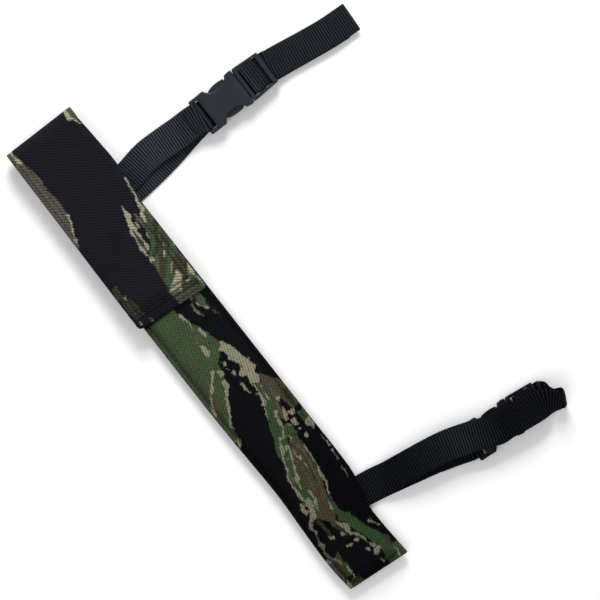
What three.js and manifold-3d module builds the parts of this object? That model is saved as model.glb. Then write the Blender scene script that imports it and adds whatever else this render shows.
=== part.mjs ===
// Forearm guard: a long padded sleeve with a fold-over flap and two webbing straps, each closed by a
// side-release buckle. Millimetres, +Z up. The origin is the centre of the face that lies on the arm;
// +Y runs along the guard to the flap's fold and +X runs across it to the side the straps leave from.
import * as THREE from 'three';
import { mergeVertices } from 'three/addons/utils/BufferGeometryUtils.js';
import Module from 'manifold-3d';

const wasm = await Module();
wasm.setup();

// ---------------------------------------------------------------- driving dimensions

// Sleeve body. Edges are stations of [y, x], from the lower end to the fold.
const sleeve = {
  left: [[-145, -18.1], [-128, -19.5], [-105, -19], [-82, -18.2], [-45, -19.3], [-20, -19.8], [145, -20.2]],
  right: [[-148, 17.8], [-128, 16.6], [-116, 16.6], [-103, 19.6], [-92, 21], [-60, 20.9], [145, 19.6]],
  lowerLeft: -144.5,
  lowerRight: -147.3,
  top: 141.1,
  corner: 1.5,
};
const flap = {
  left: [[28, -22], [60, -21.9], [90, -21.6], [120, -21.4], [147, -21.1]],
  right: [[26, 19.8], [60, 19.6], [84, 19.9], [107, 22.2], [125, 21.6], [147, 20.2]],
  lowerLeft: 31,
  lowerRight: 27.5,
  top: 141.1,
  corner: 2,
};
const mouthY = 138;
const foldGap = 0.2;
const openEndReach = 2;

// Heights of the layers above the arm face.
const backPanelTop = 1;
const plateBottom = 4.3;
const plateTop = 5.7;
const loopPatch = { bottom: 7.35, top: 8, depth: 14, setBack: 1.5, margin: 3 };
const hookPatch = { bottom: 8.1, top: 8.65, depth: 10, setBack: 1.2, margin: 3 };
const liningBottom = 8.75;
const liningTop = 9.3;
const flapBottom = 9.4;
const flapTop = 10.2;
const plate = { left: -12.6, right: 11.4, bottom: -136, top: 134, corner: 6 };

// Sections of the padded sleeve, as [distance inside its edge, height].
const coverOutside = [[0, 1.1], [0.2, 2.4], [1.1, 4.7], [2.8, 6.5], [5.4, 7.25]];
const coverInside = [[1, 0.1], [1.2, 2.4], [2.1, 4.4], [3.7, 5.6], [6.2, 6.25]];
const padSection = [[1.6, 1.1], [1.6, 2.4], [2.5, 4.2]];
const padEndY = 136;

// Webbing. The lower of its two layers lies on the table, floorZ below the arm face.
const webbing = { width: 16.6, thickness: 1.2 };
const layerGap = 0.3;
const floorZ = -3;
const lowLayerZ = floorZ + webbing.thickness / 2;
const sewnLayerZ = lowLayerZ + webbing.thickness + layerGap;
const leftFoldX = -17;
const swingX = 24.5;
const swingGap = 0.15;

// Side-release buckle, in its own frame: x from the crossbar's end to the end bar, z = 0 halfway up.
const housing = { start: 4.8, mouth: 28, end: 10.2, half: 10.6, waist: 6.9, halfHeight: 3.5 };
const housingSlope = { end: 8.6, height: 2.1, mouth: 3.1 };
const cavity = { start: 7.2, half: 8.6, halfHeight: 2.2 };
const crossbar = { x: 1.2, radius: 1.2 };
const wrapClearance = 0.1;
const rail = { inner: 8.6, outer: 10.4, reach: 9, halfHeight: 1.9 };
const shoulder = { start: 28.3, end: 30.6, half: 10.2, halfHeight: 2.9 };
const frameRail = { outerEnd: 9.5, bottom: -1.6, top: 2.1 };
const neck = { start: 22, half: 4.6, halfHeight: 1.8 };
const tongue = { start: 9, half: 2, halfHeight: 1.5 };
const centreBar = { start: 33.1, end: 37.8, half: 9, bottom: -0.6, top: 1 };
const endBar = { start: 42, end: 44.5, half: 9.4, bottom: 0.3, top: 2.5 };
const prongHeight = 3;
const upperBuckle = { x: 71, y: 99.5, z: 2.2, heading: 0, flip: 1 };
const lowerBuckle = { x: 78.3, y: -122.7, z: 0.6, heading: THREE.MathUtils.degToRad(-4.2), flip: -1 };

// ---------------------------------------------------------------- materials

const material = (color, roughness) => new THREE.MeshStandardMaterial({ color, roughness, metalness: 0 });
const coverCloth = material('#5d7053', 0.9);
const flapCloth = material('#3b3c47', 0.9);
const liningCloth = material('#26272c', 0.95);
const foam = material('#3d3d3f', 0.85);
const stiffener = material('#22252a', 0.5);
const fastening = material('#1d1e22', 0.95);
const webbingCloth = material('#23242b', 0.85);
const moulding = material('#17171b', 0.4);

// ---------------------------------------------------------------- shape helpers

// Smooth value at a station, through pairs of [station, value] in rising order.
function smooth(stations, at) {
  const last = stations.length - 1;
  let right = 1;
  while (right < last && at > stations[right][0]) right += 1;
  const [x0, y0] = stations[right - 1];
  const [x1, y1] = stations[right];
  const slope = (index) => {
    const before = stations[Math.max(index - 1, 0)];
    const after = stations[Math.min(index + 1, last)];
    return (after[1] - before[1]) / (after[0] - before[0]);
  };
  const span = x1 - x0;
  const t = (at - x0) / span;
  const fromStart = (1 + 2 * t) * (1 - t) ** 2 * y0 + t * (1 - t) ** 2 * span * slope(right - 1);
  const toEnd = t * t * (3 - 2 * t) * y1 + t * t * (t - 1) * span * slope(right);
  return fromStart + toEnd;
}

// Closed body through rings of points that all run anticlockwise about the way from first to last ring.
function loft(rings, cap) {
  const size = rings[0].length;
  const positions = rings.flat().flatMap((point) => point.toArray());
  const index = [];
  for (let ring = 0; ring < rings.length - 1; ring += 1) {
    for (let corner = 0; corner < size; corner += 1) {
      const a = ring * size + corner;
      const b = ring * size + ((corner + 1) % size);
      index.push(a, b, b + size, a, b + size, a + size);
    }
  }
  const end = (rings.length - 1) * size;
  for (const [a, b, c] of cap) index.push(a, c, b, end + a, end + b, end + c);
  const geometry = new THREE.BufferGeometry();
  geometry.setAttribute('position', new THREE.Float32BufferAttribute(positions, 3));
  geometry.setIndex(index);
  geometry.computeVertexNormals();
  return geometry;
}

const cornerSteps = 4;
const edgeSteps = 18;

// Outline of a panel, anticlockwise: rounded lower corners, then up the right edge and down the left.
function panelOutline(panel, inset, top) {
  const leftX = (y) => smooth(panel.left, y) + inset;
  const rightX = (y) => smooth(panel.right, y) - inset;
  const leftY = panel.lowerLeft + inset + panel.corner;
  const rightY = panel.lowerRight + inset + panel.corner;
  const points = [];
  for (let step = 0; step <= cornerSteps; step += 1) {
    const angle = Math.PI * (1 + (0.5 * step) / cornerSteps);
    const x = leftX(leftY) + panel.corner * (1 + Math.cos(angle));
    points.push(new THREE.Vector2(x, leftY + panel.corner * Math.sin(angle)));
  }
  for (let step = 0; step <= cornerSteps; step += 1) {
    const angle = Math.PI * (1.5 + (0.5 * step) / cornerSteps);
    const x = rightX(rightY) - panel.corner * (1 - Math.cos(angle));
    points.push(new THREE.Vector2(x, rightY + panel.corner * Math.sin(angle)));
  }
  for (let step = 1; step <= edgeSteps; step += 1) {
    const y = THREE.MathUtils.lerp(rightY, top, step / edgeSteps);
    points.push(new THREE.Vector2(rightX(y), y));
  }
  for (let step = 0; step < edgeSteps; step += 1) {
    const y = THREE.MathUtils.lerp(top, leftY, step / edgeSteps);
    points.push(new THREE.Vector2(leftX(y), y));
  }
  return points;
}

// Triangles across a panel outline, between the points of its left and right edges, from the lower edge up.
function panelCap(size) {
  const cap = [];
  for (let step = 0; step < size / 2 - 1; step += 1) {
    const left = (cornerSteps - step + size) % size;
    const right = cornerSteps + 1 + step;
    cap.push([left, right, right + 1], [left, right + 1, (left - 1 + size) % size]);
  }
  return cap;
}

// Panel stacked from levels of [inset, z].
function panelBody(panel, levels, top = panel.top) {
  const rings = levels.map(([inset, z]) => {
    const outline = panelOutline(panel, inset, top);
    return outline.map((point) => new THREE.Vector3(point.x, point.y, z));
  });
  return loft(rings, panelCap(rings[0].length));
}

function extrude(shape, bottom, top, bevel = 0, curveSegments = 6) {
  const options = { depth: top - bottom - 2 * bevel, curveSegments, bevelEnabled: bevel > 0 };
  Object.assign(options, { bevelThickness: bevel, bevelSize: bevel, bevelOffset: -bevel, bevelSegments: 3 });
  return new THREE.ExtrudeGeometry(shape, options).translate(0, 0, bottom + bevel);
}

function roundedRectangle(left, right, bottom, top, corner) {
  const shape = new THREE.Shape();
  shape.absarc(right - corner, top - corner, corner, 0, Math.PI / 2);
  shape.absarc(left + corner, top - corner, corner, Math.PI / 2, Math.PI);
  shape.absarc(left + corner, bottom + corner, corner, Math.PI, 1.5 * Math.PI);
  shape.absarc(right - corner, bottom + corner, corner, 1.5 * Math.PI, 2 * Math.PI);
  return shape;
}

function block(x0, x1, y0, y1, z0, z1, bevel = 0) {
  const corner = bevel * 1.5 + 0.1;
  return extrude(roundedRectangle(x0, x1, y0, y1, corner), z0, z1, bevel, 2);
}

function toManifold(geometry) {
  const bare = geometry.clone();
  bare.deleteAttribute('normal');
  bare.deleteAttribute('uv');
  const merged = mergeVertices(bare, 1e-4);
  const vertProperties = new Float32Array(merged.getAttribute('position').array);
  const triVerts = new Uint32Array(merged.getIndex().array);
  return new wasm.Manifold(new wasm.Mesh({ numProp: 3, vertProperties, triVerts }));
}

function fromManifold(solid) {
  const { vertProperties, triVerts } = solid.getMesh();
  const geometry = new THREE.BufferGeometry();
  geometry.setAttribute('position', new THREE.Float32BufferAttribute(vertProperties, 3));
  geometry.setIndex(new THREE.BufferAttribute(new Uint32Array(triVerts), 1));
  geometry.computeVertexNormals();
  return geometry;
}

// One geometry from a list to join and a list to cut away.
function combine(joined, cut = []) {
  let solid = toManifold(joined[0]);
  for (const geometry of joined.slice(1)) solid = solid.add(toManifold(geometry));
  for (const geometry of cut) solid = solid.subtract(toManifold(geometry));
  return fromManifold(solid);
}

const overlapOf = (a, b) => fromManifold(toManifold(a).intersect(toManifold(b)));

// ---------------------------------------------------------------- webbing

// A section of strap has a centre, the heading of the strap in plan and its roll about that heading.
const section = (x, y, z, heading = 0, roll = 0) => ({ centre: new THREE.Vector3(x, y, z), heading, roll });

// Sections along a smooth free run through points of [x, y, z, roll in degrees].
function freeRun(points, step = 6) {
  const curve = new THREE.CatmullRomCurve3(points.map(([x, y, z]) => new THREE.Vector3(x, y, z)));
  const count = Math.max(points.length - 1, Math.ceil(curve.getLength() / step));
  const sections = [];
  for (let index = 0; index <= count; index += 1) {
    const t = index / count;
    const { x, y, z } = curve.getPoint(t);
    const tangent = curve.getTangent(t);
    const place = t * (points.length - 1);
    const before = Math.min(Math.floor(place), points.length - 2);
    const roll = THREE.MathUtils.lerp(points[before][3] ?? 0, points[before + 1][3] ?? 0, place - before);
    const heading = Math.atan(tangent.y / tangent.x);
    sections.push(section(x, y, z, heading, THREE.MathUtils.degToRad(roll)));
  }
  return sections;
}

// The same run, with its end at the swing axis cut parallel to that axis.
function runFromSwing(points) {
  const sections = freeRun(points);
  sections[0].heading = 0;
  return sections;
}

// Half-turn of the strap about a point, in the plane of its heading, from one angle to another.
function bend(centre, radius, from, to, heading = 0, roll = 0) {
  const steps = Math.max(2, Math.round(Math.abs(to - from) / 30));
  const sections = [];
  for (let step = 0; step <= steps; step += 1) {
    const angle = THREE.MathUtils.degToRad(THREE.MathUtils.lerp(from, to, step / steps));
    const along = radius * Math.cos(angle);
    const above = radius * Math.sin(angle);
    const side = -Math.sin(roll) * above;
    const x = centre[0] + along * Math.cos(heading) - side * Math.sin(heading);
    const y = centre[1] + along * Math.sin(heading) + side * Math.cos(heading);
    sections.push(section(x, y, centre[2] + Math.cos(roll) * above, heading, roll));
  }
  return sections;
}

// Place in the buckle's own frame, carried to the guard's frame.
function inBuckle(buckle, along, above) {
  const x = buckle.x + along * Math.cos(buckle.heading);
  const y = buckle.y + along * Math.sin(buckle.heading);
  return [x, y, buckle.z + buckle.flip * above];
}

// Part of a strap threaded through a buckle, from places of [along, above].
function threaded(buckle, places) {
  return places.map((place) => section(...inBuckle(buckle, ...place), buckle.heading));
}

function strap(sections) {
  const last = sections.length - 1;
  const rings = sections.map(({ centre, heading, roll }, index) => {
    const before = sections[Math.max(index - 1, 0)].centre;
    const after = sections[Math.min(index + 1, last)].centre;
    const tangent = after.clone().sub(before).normalize();
    const level = new THREE.Vector3(-Math.sin(heading), Math.cos(heading), 0);
    const across = level.multiplyScalar(Math.cos(roll)).add(new THREE.Vector3(0, 0, Math.sin(roll)));
    const normal = tangent.clone().cross(across).normalize();
    const corners = [[1, -1], [1, 1], [-1, 1], [-1, -1]];
    return corners.map(([side, face]) => {
      const point = centre.clone().addScaledVector(across, (side * webbing.width) / 2);
      return point.addScaledVector(normal, (face * webbing.thickness) / 2);
    });
  });
  return loft(rings, [[0, 1, 2], [0, 2, 3]]);
}

// Webbing sewn across the back, folded at the left edge and brought back underneath.
function strapAnchor(sewn, under) {
  const fold = [leftFoldX, sewn[0][1], (sewnLayerZ + lowLayerZ) / 2];
  const foldRadius = (sewnLayerZ - lowLayerZ) / 2;
  return strap([
    ...runFromSwing([...sewn].reverse()),
    ...bend(fold, foldRadius, 90, 270).slice(1, -1),
    ...runFromSwing([...under].reverse()).reverse(),
  ]);
}

const wrapRadius = crossbar.radius + webbing.thickness / 2 + wrapClearance;
const wrapRoute = [90, 60, 30, 0, -30, -60, -90].map((degrees) => {
  const angle = THREE.MathUtils.degToRad(degrees);
  return [crossbar.x + wrapRadius * Math.cos(angle), wrapRadius * Math.sin(angle)];
});

// Ladder lock: under both bars, up the first slot, over the centre bar and down the second slot.
const ladderRoute = [
  [45, -2], [40, -2], [33.1, -2], [32.4, -1.75], [32, -1], [32, 0.7], [32.3, 1.45], [33.1, 1.7],
  [38.3, 1.7], [39.3, 1.35], [40.2, 0.45], [41.1, -0.4], [42, -0.65], [45, -0.65],
];

// ---------------------------------------------------------------- buckle

// Block that spans the strap's width, equally to both sides of the buckle's centre line.
function spanning({ start, end, half, bottom, top }, bevel) {
  return block(start, end, -half, half, bottom, top, bevel);
}

const upright = (bar, end) => ({ ...bar, end, bottom: -bar.halfHeight, top: bar.halfHeight });

// Shape from points on its +Y edge, mirrored to its -Y edge.
function mirrored(edge) {
  const opposite = edge.map((point) => new THREE.Vector2(point.x, -point.y)).reverse();
  return new THREE.Shape([...edge, ...opposite]);
}

function buckleHousing() {
  const edge = new THREE.Path();
  edge.moveTo(housing.start, housing.end - 0.6);
  edge.lineTo(7, housing.half);
  edge.lineTo(9.6, housing.half);
  edge.quadraticCurveTo(11.6, housing.waist, 15, housing.waist);
  edge.lineTo(19, housing.waist);
  edge.quadraticCurveTo(22, housing.waist, 23.6, housing.end);
  edge.lineTo(26.5, housing.half);
  edge.lineTo(housing.mouth, housing.end);
  const plan = extrude(mirrored(edge.getPoints(6)), -housing.halfHeight, housing.halfHeight, 0.8);
  const side = mirrored([
    new THREE.Vector2(housing.start, housingSlope.height),
    new THREE.Vector2(housing.start + 0.7, housingSlope.height + 0.6),
    new THREE.Vector2(housingSlope.end, housing.halfHeight),
    new THREE.Vector2(housing.mouth - 3, housing.halfHeight),
    new THREE.Vector2(housing.mouth, housingSlope.mouth),
  ]);
  const profile = extrude(side, -housing.half, housing.half).rotateX(Math.PI / 2);
  const shell = overlapOf(plan, profile);
  const bar = new THREE.CylinderGeometry(crossbar.radius, crossbar.radius, 2 * rail.outer - 1, 16);
  bar.translate(crossbar.x, 0, 0);
  const rails = [-1, 1].map((sign) => {
    const [low, high] = [sign * rail.inner, sign * (rail.outer + 0.2)].sort((a, b) => a - b);
    return block(0, rail.reach, low, high, -rail.halfHeight, rail.halfHeight, 0.5);
  });
  return combine([shell, bar, ...rails], [spanning(upright(cavity, housing.mouth + 2), 0)]);
}

function buckleFrame() {
  const rails = [-1, 1].map((sign) => {
    const shape = new THREE.Shape();
    shape.moveTo(shoulder.start + 1, sign * rail.inner);
    shape.lineTo(endBar.end, sign * rail.inner);
    shape.lineTo(endBar.end, sign * frameRail.outerEnd);
    shape.lineTo(shoulder.start + 1, sign * rail.outer);
    return extrude(shape, frameRail.bottom, frameRail.top, 0.3);
  });
  return combine([
    spanning(upright(shoulder, shoulder.end), 0.5),
    ...rails,
    spanning(centreBar, 0.3),
    spanning(endBar, 0.5),
    spanning(upright(neck, shoulder.start + 1), 0.2),
    spanning(upright(tongue, neck.start + 1), 0.5),
  ]);
}

function buckleProng(side) {
  const shape = new THREE.Shape();
  shape.moveTo(28, 6.1);
  shape.lineTo(28, 7.9);
  shape.lineTo(22.4, 7.9);
  shape.lineTo(21.9, 9.3);
  shape.bezierCurveTo(20, 9.8, 14.4, 10.1, 12, 8.6);
  shape.quadraticCurveTo(10, 7.2, 9.5, 5.4);
  shape.quadraticCurveTo(10.6, 4.7, 11.6, 5.6);
  shape.quadraticCurveTo(14, 6.8, 20, 6.4);
  shape.lineTo(28, 6.1);
  const geometry = extrude(shape, -prongHeight / 2, prongHeight / 2);
  return side > 0 ? geometry : geometry.rotateX(Math.PI);
}

// ---------------------------------------------------------------- assembly

const guard = new THREE.Group();

function add(name, geometry, finish, parent = guard) {
  const mesh = new THREE.Mesh(geometry, finish);
  mesh.name = name;
  parent.add(mesh);
}

function addSleeve() {
  add('back_panel', panelBody(sleeve, [[0, 0], [0, backPanelTop]]), liningCloth);
  const outside = panelBody(sleeve, coverOutside, mouthY);
  const inside = panelBody(sleeve, coverInside, mouthY + openEndReach);
  add('front_panel', combine([outside], [inside]), coverCloth);
  add('foam_pad', panelBody(sleeve, padSection, padEndY), foam);
  const plateShape = roundedRectangle(plate.left, plate.right, plate.bottom, plate.top, plate.corner);
  add('insert_plate', extrude(plateShape, plateBottom, plateTop), stiffener);
}

// Patch that runs along inside the flap's lower edge.
function edgePatch({ bottom, top, depth, setBack, margin }) {
  const lowerLeft = flap.lowerLeft + setBack;
  const lowerRight = flap.lowerRight + setBack;
  const left = flap.left[0][1] + margin;
  const right = flap.right[0][1] - margin;
  const shape = new THREE.Shape();
  shape.moveTo(left, lowerLeft);
  shape.lineTo(right, lowerRight);
  shape.lineTo(right, lowerRight + depth);
  shape.lineTo(left, lowerLeft + depth);
  return extrude(shape, bottom, top);
}

function addFlap() {
  add('loop_patch', edgePatch(loopPatch), fastening);
  add('hook_patch', edgePatch(hookPatch), fastening);
  add('flap_lining', panelBody(flap, [[0.8, liningBottom], [0.8, liningTop]]), liningCloth);
  add('flap_outer', panelBody(flap, [[0, flapBottom], [0, flapTop]]), flapCloth);
  const radius = flapTop / 2;
  const ring = new THREE.Shape();
  ring.absarc(0, 0, radius, -Math.PI / 2, Math.PI / 2);
  ring.absarc(0, 0, radius - backPanelTop, Math.PI / 2, -Math.PI / 2, true);
  const foldLeft = smooth(flap.left, flap.top);
  const foldRight = smooth(flap.right, flap.top);
  const options = { depth: foldRight - foldLeft, curveSegments: 10, bevelEnabled: false };
  const fold = new THREE.ExtrudeGeometry(ring, options);
  const axes = [new THREE.Vector3(0, 1, 0), new THREE.Vector3(0, 0, 1), new THREE.Vector3(1, 0, 0)];
  fold.applyMatrix4(new THREE.Matrix4().makeBasis(...axes)).translate(foldLeft, flap.top + foldGap, radius);
  add('flap_fold', fold, flapCloth);
}

function addBuckle(name, buckle) {
  const place = new THREE.Group();
  place.position.set(buckle.x, buckle.y, buckle.z);
  place.rotation.set(buckle.flip < 0 ? Math.PI : 0, 0, buckle.heading);
  place.rotation.order = 'ZYX';
  guard.add(place);
  add(`${name}_buckle_housing`, buckleHousing(), moulding, place);
  add(`${name}_buckle_frame`, buckleFrame(), moulding, place);
  add(`${name}_prong_a`, buckleProng(buckle.flip), moulding, place);
  add(`${name}_prong_b`, buckleProng(-buckle.flip), moulding, place);
}

function addUpperStrap() {
  const edgeX = swingX - swingGap;
  const startX = swingX + swingGap;
  const sewn = [[leftFoldX, 96, sewnLayerZ], [5, 97, sewnLayerZ], [edgeX, 99.3, sewnLayerZ]];
  const under = [[leftFoldX, 96, lowLayerZ], [2, 93.2, lowLayerZ], [edgeX, 93, lowLayerZ]];
  add('upper_strap_anchor', strapAnchor(sewn, under), webbingCloth);

  const overBar = [upperBuckle.x - 1, 99.6, upperBuckle.z + wrapRadius];
  const underBar = [upperBuckle.x - 0.5, 99.6, upperBuckle.z - wrapRadius + 0.05];
  const rise = [[38, 101.6, -0.7], [50, 101.3, 0.6], [60, 100.6, 2.4], [66, 100, 3.6]];
  add('upper_short_strap', strap([
    ...runFromSwing([[startX, 99.5, sewnLayerZ], ...rise, overBar]),
    ...threaded(upperBuckle, wrapRoute),
    ...freeRun([underBar, [66, 100, 1.3], [60, 100.6, 0.8], [53, 101.1, -0.4]]),
  ]), webbingCloth);

  const farFold = [159.3, 93.5, lowLayerZ + 0.7];
  const turn = THREE.MathUtils.degToRad(-4);
  const alongTable = [[startX, 93], [45, 95], [63, 97], [95, 99.3], [130, 97.2], [150, 94.4], [159.3, 93.5]];
  const lowRun = alongTable.map(([x, y]) => [x, y, lowLayerZ]);
  const loadRun = [[159.3, 93.5, -1], [150, 94.4, -1], [135, 96.6, -1], [124, 98.4, -0.9], [118, 99.2, 0]];
  const tailRun = [[118, 99.2, 1.4], [124, 98.4, 0.55], [135, 96.6, 0.4], [150, 94.4, 0.4], [167.4, 93.3, 0]];
  add('upper_long_strap', strap([
    ...runFromSwing(lowRun),
    ...bend(farFold, 0.7, -90, 90, turn).slice(1, -1),
    ...freeRun(loadRun),
    ...threaded(upperBuckle, ladderRoute),
    ...freeRun(tailRun),
  ]), webbingCloth);
  addBuckle('upper', upperBuckle);
}

function addLowerStrap() {
  const edgeX = swingX - swingGap;
  const startX = swingX + swingGap;
  const sewn = [[leftFoldX, -105.2, sewnLayerZ], [4, -105.4, sewnLayerZ], [edgeX, -107.8, sewnLayerZ]];
  const under = [[leftFoldX, -105.2, lowLayerZ], [4, -105.6, lowLayerZ], [edgeX, -108.9, lowLayerZ]];
  add('lower_strap_anchor', strapAnchor(sewn, under), webbingCloth);

  const overBar = inBuckle(lowerBuckle, -1, wrapRadius);
  const underBar = inBuckle(lowerBuckle, -0.5, 0.05 - wrapRadius);
  const onTable = [[45, -113.7, lowLayerZ], [62, -117.9, -2.3], [72, -121, -1.9]];
  add('lower_short_strap', strap([
    ...runFromSwing([[startX, -109, lowLayerZ], ...onTable, overBar]),
    ...threaded(lowerBuckle, wrapRoute),
    ...freeRun([underBar, [73, -121.4, 0.9], [68, -119.8, -0.4], [60, -117.4, -0.9]]),
  ]), webbingCloth);

  const roll = 58;
  const spine = [131.2, -132.6, 5];
  const heading = THREE.MathUtils.degToRad(-20);
  const arch = [[startX, -107.9, sewnLayerZ], [34, -109.8, 1.5], [44, -111.2, 4], [55, -112.8, 5.5]];
  const acrossBuckle = [[68, -115.3, 5.6], [80, -119.2, 5.6], [92, -123.6, 5.6], [104, -126.1, 5.8]];
  const twist = [[114, -127.6, 6.6, 8], [122.5, -129.3, 7.2, 24]];
  const farFold = bend(spine, 1.6, 90, -90, heading, THREE.MathUtils.degToRad(roll));
  const foldTop = farFold[0].centre;
  const foldBottom = farFold[farFold.length - 1].centre;
  const endOfFrame = inBuckle(lowerBuckle, 46.2, -2);
  add('lower_long_strap', strap([
    ...runFromSwing([...arch, ...acrossBuckle, ...twist, [...foldTop.toArray(), roll]]),
    ...farFold.slice(1, -1),
    ...freeRun([[...foldBottom.toArray(), roll], endOfFrame], 2),
    ...threaded(lowerBuckle, ladderRoute),
    ...threaded(lowerBuckle, [[48, -0.65]]),
  ]), webbingCloth);
  addBuckle('lower', lowerBuckle);
}

addSleeve();
addFlap();
addUpperStrap();
addLowerStrap();

export default guard;
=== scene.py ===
"""Looks of the forearm guard: camouflage-print cover and flap, ribbed webbing loops and moulded buckles."""

import math

import bpy
import numpy as np
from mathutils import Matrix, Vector


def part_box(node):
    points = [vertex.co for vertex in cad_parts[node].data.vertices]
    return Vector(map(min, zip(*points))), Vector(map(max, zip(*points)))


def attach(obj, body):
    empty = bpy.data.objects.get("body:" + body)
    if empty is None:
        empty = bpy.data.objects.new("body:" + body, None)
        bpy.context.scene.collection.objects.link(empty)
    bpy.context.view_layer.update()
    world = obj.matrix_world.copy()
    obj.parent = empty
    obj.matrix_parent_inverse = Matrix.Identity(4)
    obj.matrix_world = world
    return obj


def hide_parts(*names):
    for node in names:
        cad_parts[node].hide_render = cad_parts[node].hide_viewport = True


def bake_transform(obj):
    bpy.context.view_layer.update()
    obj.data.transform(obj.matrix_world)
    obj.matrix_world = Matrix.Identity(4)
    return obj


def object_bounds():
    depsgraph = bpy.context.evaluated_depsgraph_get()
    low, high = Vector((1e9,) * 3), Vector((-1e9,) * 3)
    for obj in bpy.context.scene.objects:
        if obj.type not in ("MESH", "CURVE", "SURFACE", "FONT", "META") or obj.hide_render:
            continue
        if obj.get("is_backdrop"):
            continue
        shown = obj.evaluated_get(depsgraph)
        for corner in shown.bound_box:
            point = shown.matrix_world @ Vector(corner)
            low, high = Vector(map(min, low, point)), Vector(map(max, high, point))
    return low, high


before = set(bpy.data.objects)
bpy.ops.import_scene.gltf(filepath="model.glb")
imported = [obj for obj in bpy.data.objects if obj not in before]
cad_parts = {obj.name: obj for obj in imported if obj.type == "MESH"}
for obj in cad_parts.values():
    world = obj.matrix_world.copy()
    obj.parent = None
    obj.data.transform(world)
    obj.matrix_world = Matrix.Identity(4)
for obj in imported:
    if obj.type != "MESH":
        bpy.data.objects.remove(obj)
cad_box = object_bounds()
MM = 0.001

# ---------------------------------------------------------------- dimensions, mm

SLEEVE_LEFT = [(-145, -18.1), (-128, -19.5), (-105, -19), (-82, -18.2), (-45, -19.3), (-20, -19.8),
               (145, -20.2)]
SLEEVE_RIGHT = [(-148, 17.8), (-128, 16.6), (-116, 16.6), (-103, 19.6), (-92, 21), (-60, 20.9), (145, 19.6)]
SLEEVE = {"left": SLEEVE_LEFT, "right": SLEEVE_RIGHT, "low_left": -144.5, "low_right": -147.3, "corner": 0.7}
FLAP_LEFT = [(28, -22), (60, -21.9), (90, -21.6), (120, -21.4), (147, -21.1)]
FLAP_RIGHT = [(26, 19.8), (60, 19.6), (84, 19.9), (107, 22.2), (125, 21.6), (147, 20.2)]
FLAP = {"left": FLAP_LEFT, "right": FLAP_RIGHT, "low_left": 31.0, "low_right": 27.5, "corner": 2.0}
MOUTH_Y = 138.0
FOLD = {"y": 141.3, "z": 5.1, "radius": 5.1, "start": 133.8}
BACK = {"inset": 0.15, "top": 0.98, "thickness": 0.9}
FOAM = {"inset": 4.3, "foot": 1.12, "side": 3.1, "rise": 0.95, "thickness": 1.9}
FLAP_THICKNESS = 0.8
LINING = {"inset": 1.5, "top_y": 140.4, "below": 0.87, "thickness": 0.4}
COVER_SEAM = 2.95  # stitch rows of the cover, from its edge
HEM_ROWS = (2.0, 4.6, 7.2, 9.8)  # stitch rows across the flap, from its lower edge
SIDE_ROWS = (2.3, 5.0)  # stitch rows up the flap, from its side edges

# Height of a surface above the arm face, by distance inside the edge or along the guard.
COVER_RISE = [(0, 1.7), (0.3, 2.35), (0.9, 2.7), (1.8, 2.75), (2.5, 2.45), (2.95, 2.3), (3.35, 2.75),
              (4, 4.4), (4.8, 5.75), (5.8, 6.5), (7.2, 6.92), (9.5, 7.15), (13, 7.25), (60, 7.25)]
COVER_TURN_IN = [(0.02, 1.35), (0.25, 1.08), (1.6, 1.06)]  # inset and height of each ring
FLAP_TOP = [(24, 9.2), (28, 9.45), (32, 9.95), (39, 10.1), (47, 9.95), (58, 9.3), (72, 9.1), (112, 9.1),
            (128, 9.5), (137, 10.1), (141.3, 10.2)]

WEBBING = {"width": 16.6, "thickness": 1.2}
FLOOR_Z = -3.0
LOW_Z = FLOOR_Z + WEBBING["thickness"] / 2
SEWN_Z = LOW_Z + WEBBING["thickness"] + 0.3
LEFT_FOLD_X = -17.0
SWING_X = 24.5
WRAP_RADIUS = 1.9
TACK_X = 64.5
UPPER = {"x": 71.0, "y": 99.72, "z": 2.2, "heading": 0.0, "flip": 1}
LOWER = {"x": 78.3, "y": -122.9, "z": 0.6, "heading": math.radians(-3.63), "flip": -1}
RIB = 1.46  # pitch of the webbing's ribs
RIB_SWELL = 0.19
WEBBING_CORE = 0.4  # half its thickness without the ribs
TACK = {"length": 13.0, "width": 1.5, "lift": 0.6, "radius": 0.12}

# ---------------------------------------------------------------- numbers


def smooth(stations, at):
    """Smooth value through stations of (place, value), for an array of places."""
    table = np.array(stations, float)
    at = np.asarray(at, float)
    last = len(table) - 1
    right = np.clip(np.searchsorted(table[:, 0], at), 1, last)
    before = np.clip(np.arange(last + 1) - 1, 0, last)
    after = np.clip(np.arange(last + 1) + 1, 0, last)
    slope = (table[after, 1] - table[before, 1]) / (table[after, 0] - table[before, 0])
    span = table[right, 0] - table[right - 1, 0]
    t = (at - table[right - 1, 0]) / span
    low = (1 + 2 * t) * (1 - t) ** 2 * table[right - 1, 1] + t * (1 - t) ** 2 * span * slope[right - 1]
    return low + t * t * (3 - 2 * t) * table[right, 1] + t * t * (t - 1) * span * slope[right]


def step_up(a, b, x):
    """Smooth step from 0 at a to 1 at b."""
    t = np.clip((np.asarray(x, float) - a) / (b - a), 0, 1)
    return t * t * (3 - 2 * t)


def hump(centre, width, x):
    return np.exp(-(((x - centre) / width) ** 2))


def noise(x, y, seed):
    """Smooth random field from 0 to 1 with one cell per unit."""
    table = np.random.default_rng(seed).random((97, 97))
    x, y = np.asarray(x, float), np.asarray(y, float)
    i, j = np.floor(x).astype(int), np.floor(y).astype(int)
    u, v = x - i, y - j
    u, v = u * u * (3 - 2 * u), v * v * (3 - 2 * v)
    corner = lambda a, b: table[(i + a) % 97, (j + b) % 97]
    low = corner(0, 0) * (1 - u) + corner(1, 0) * u
    high = corner(0, 1) * (1 - u) + corner(1, 1) * u
    return low * (1 - v) + high * v


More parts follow.
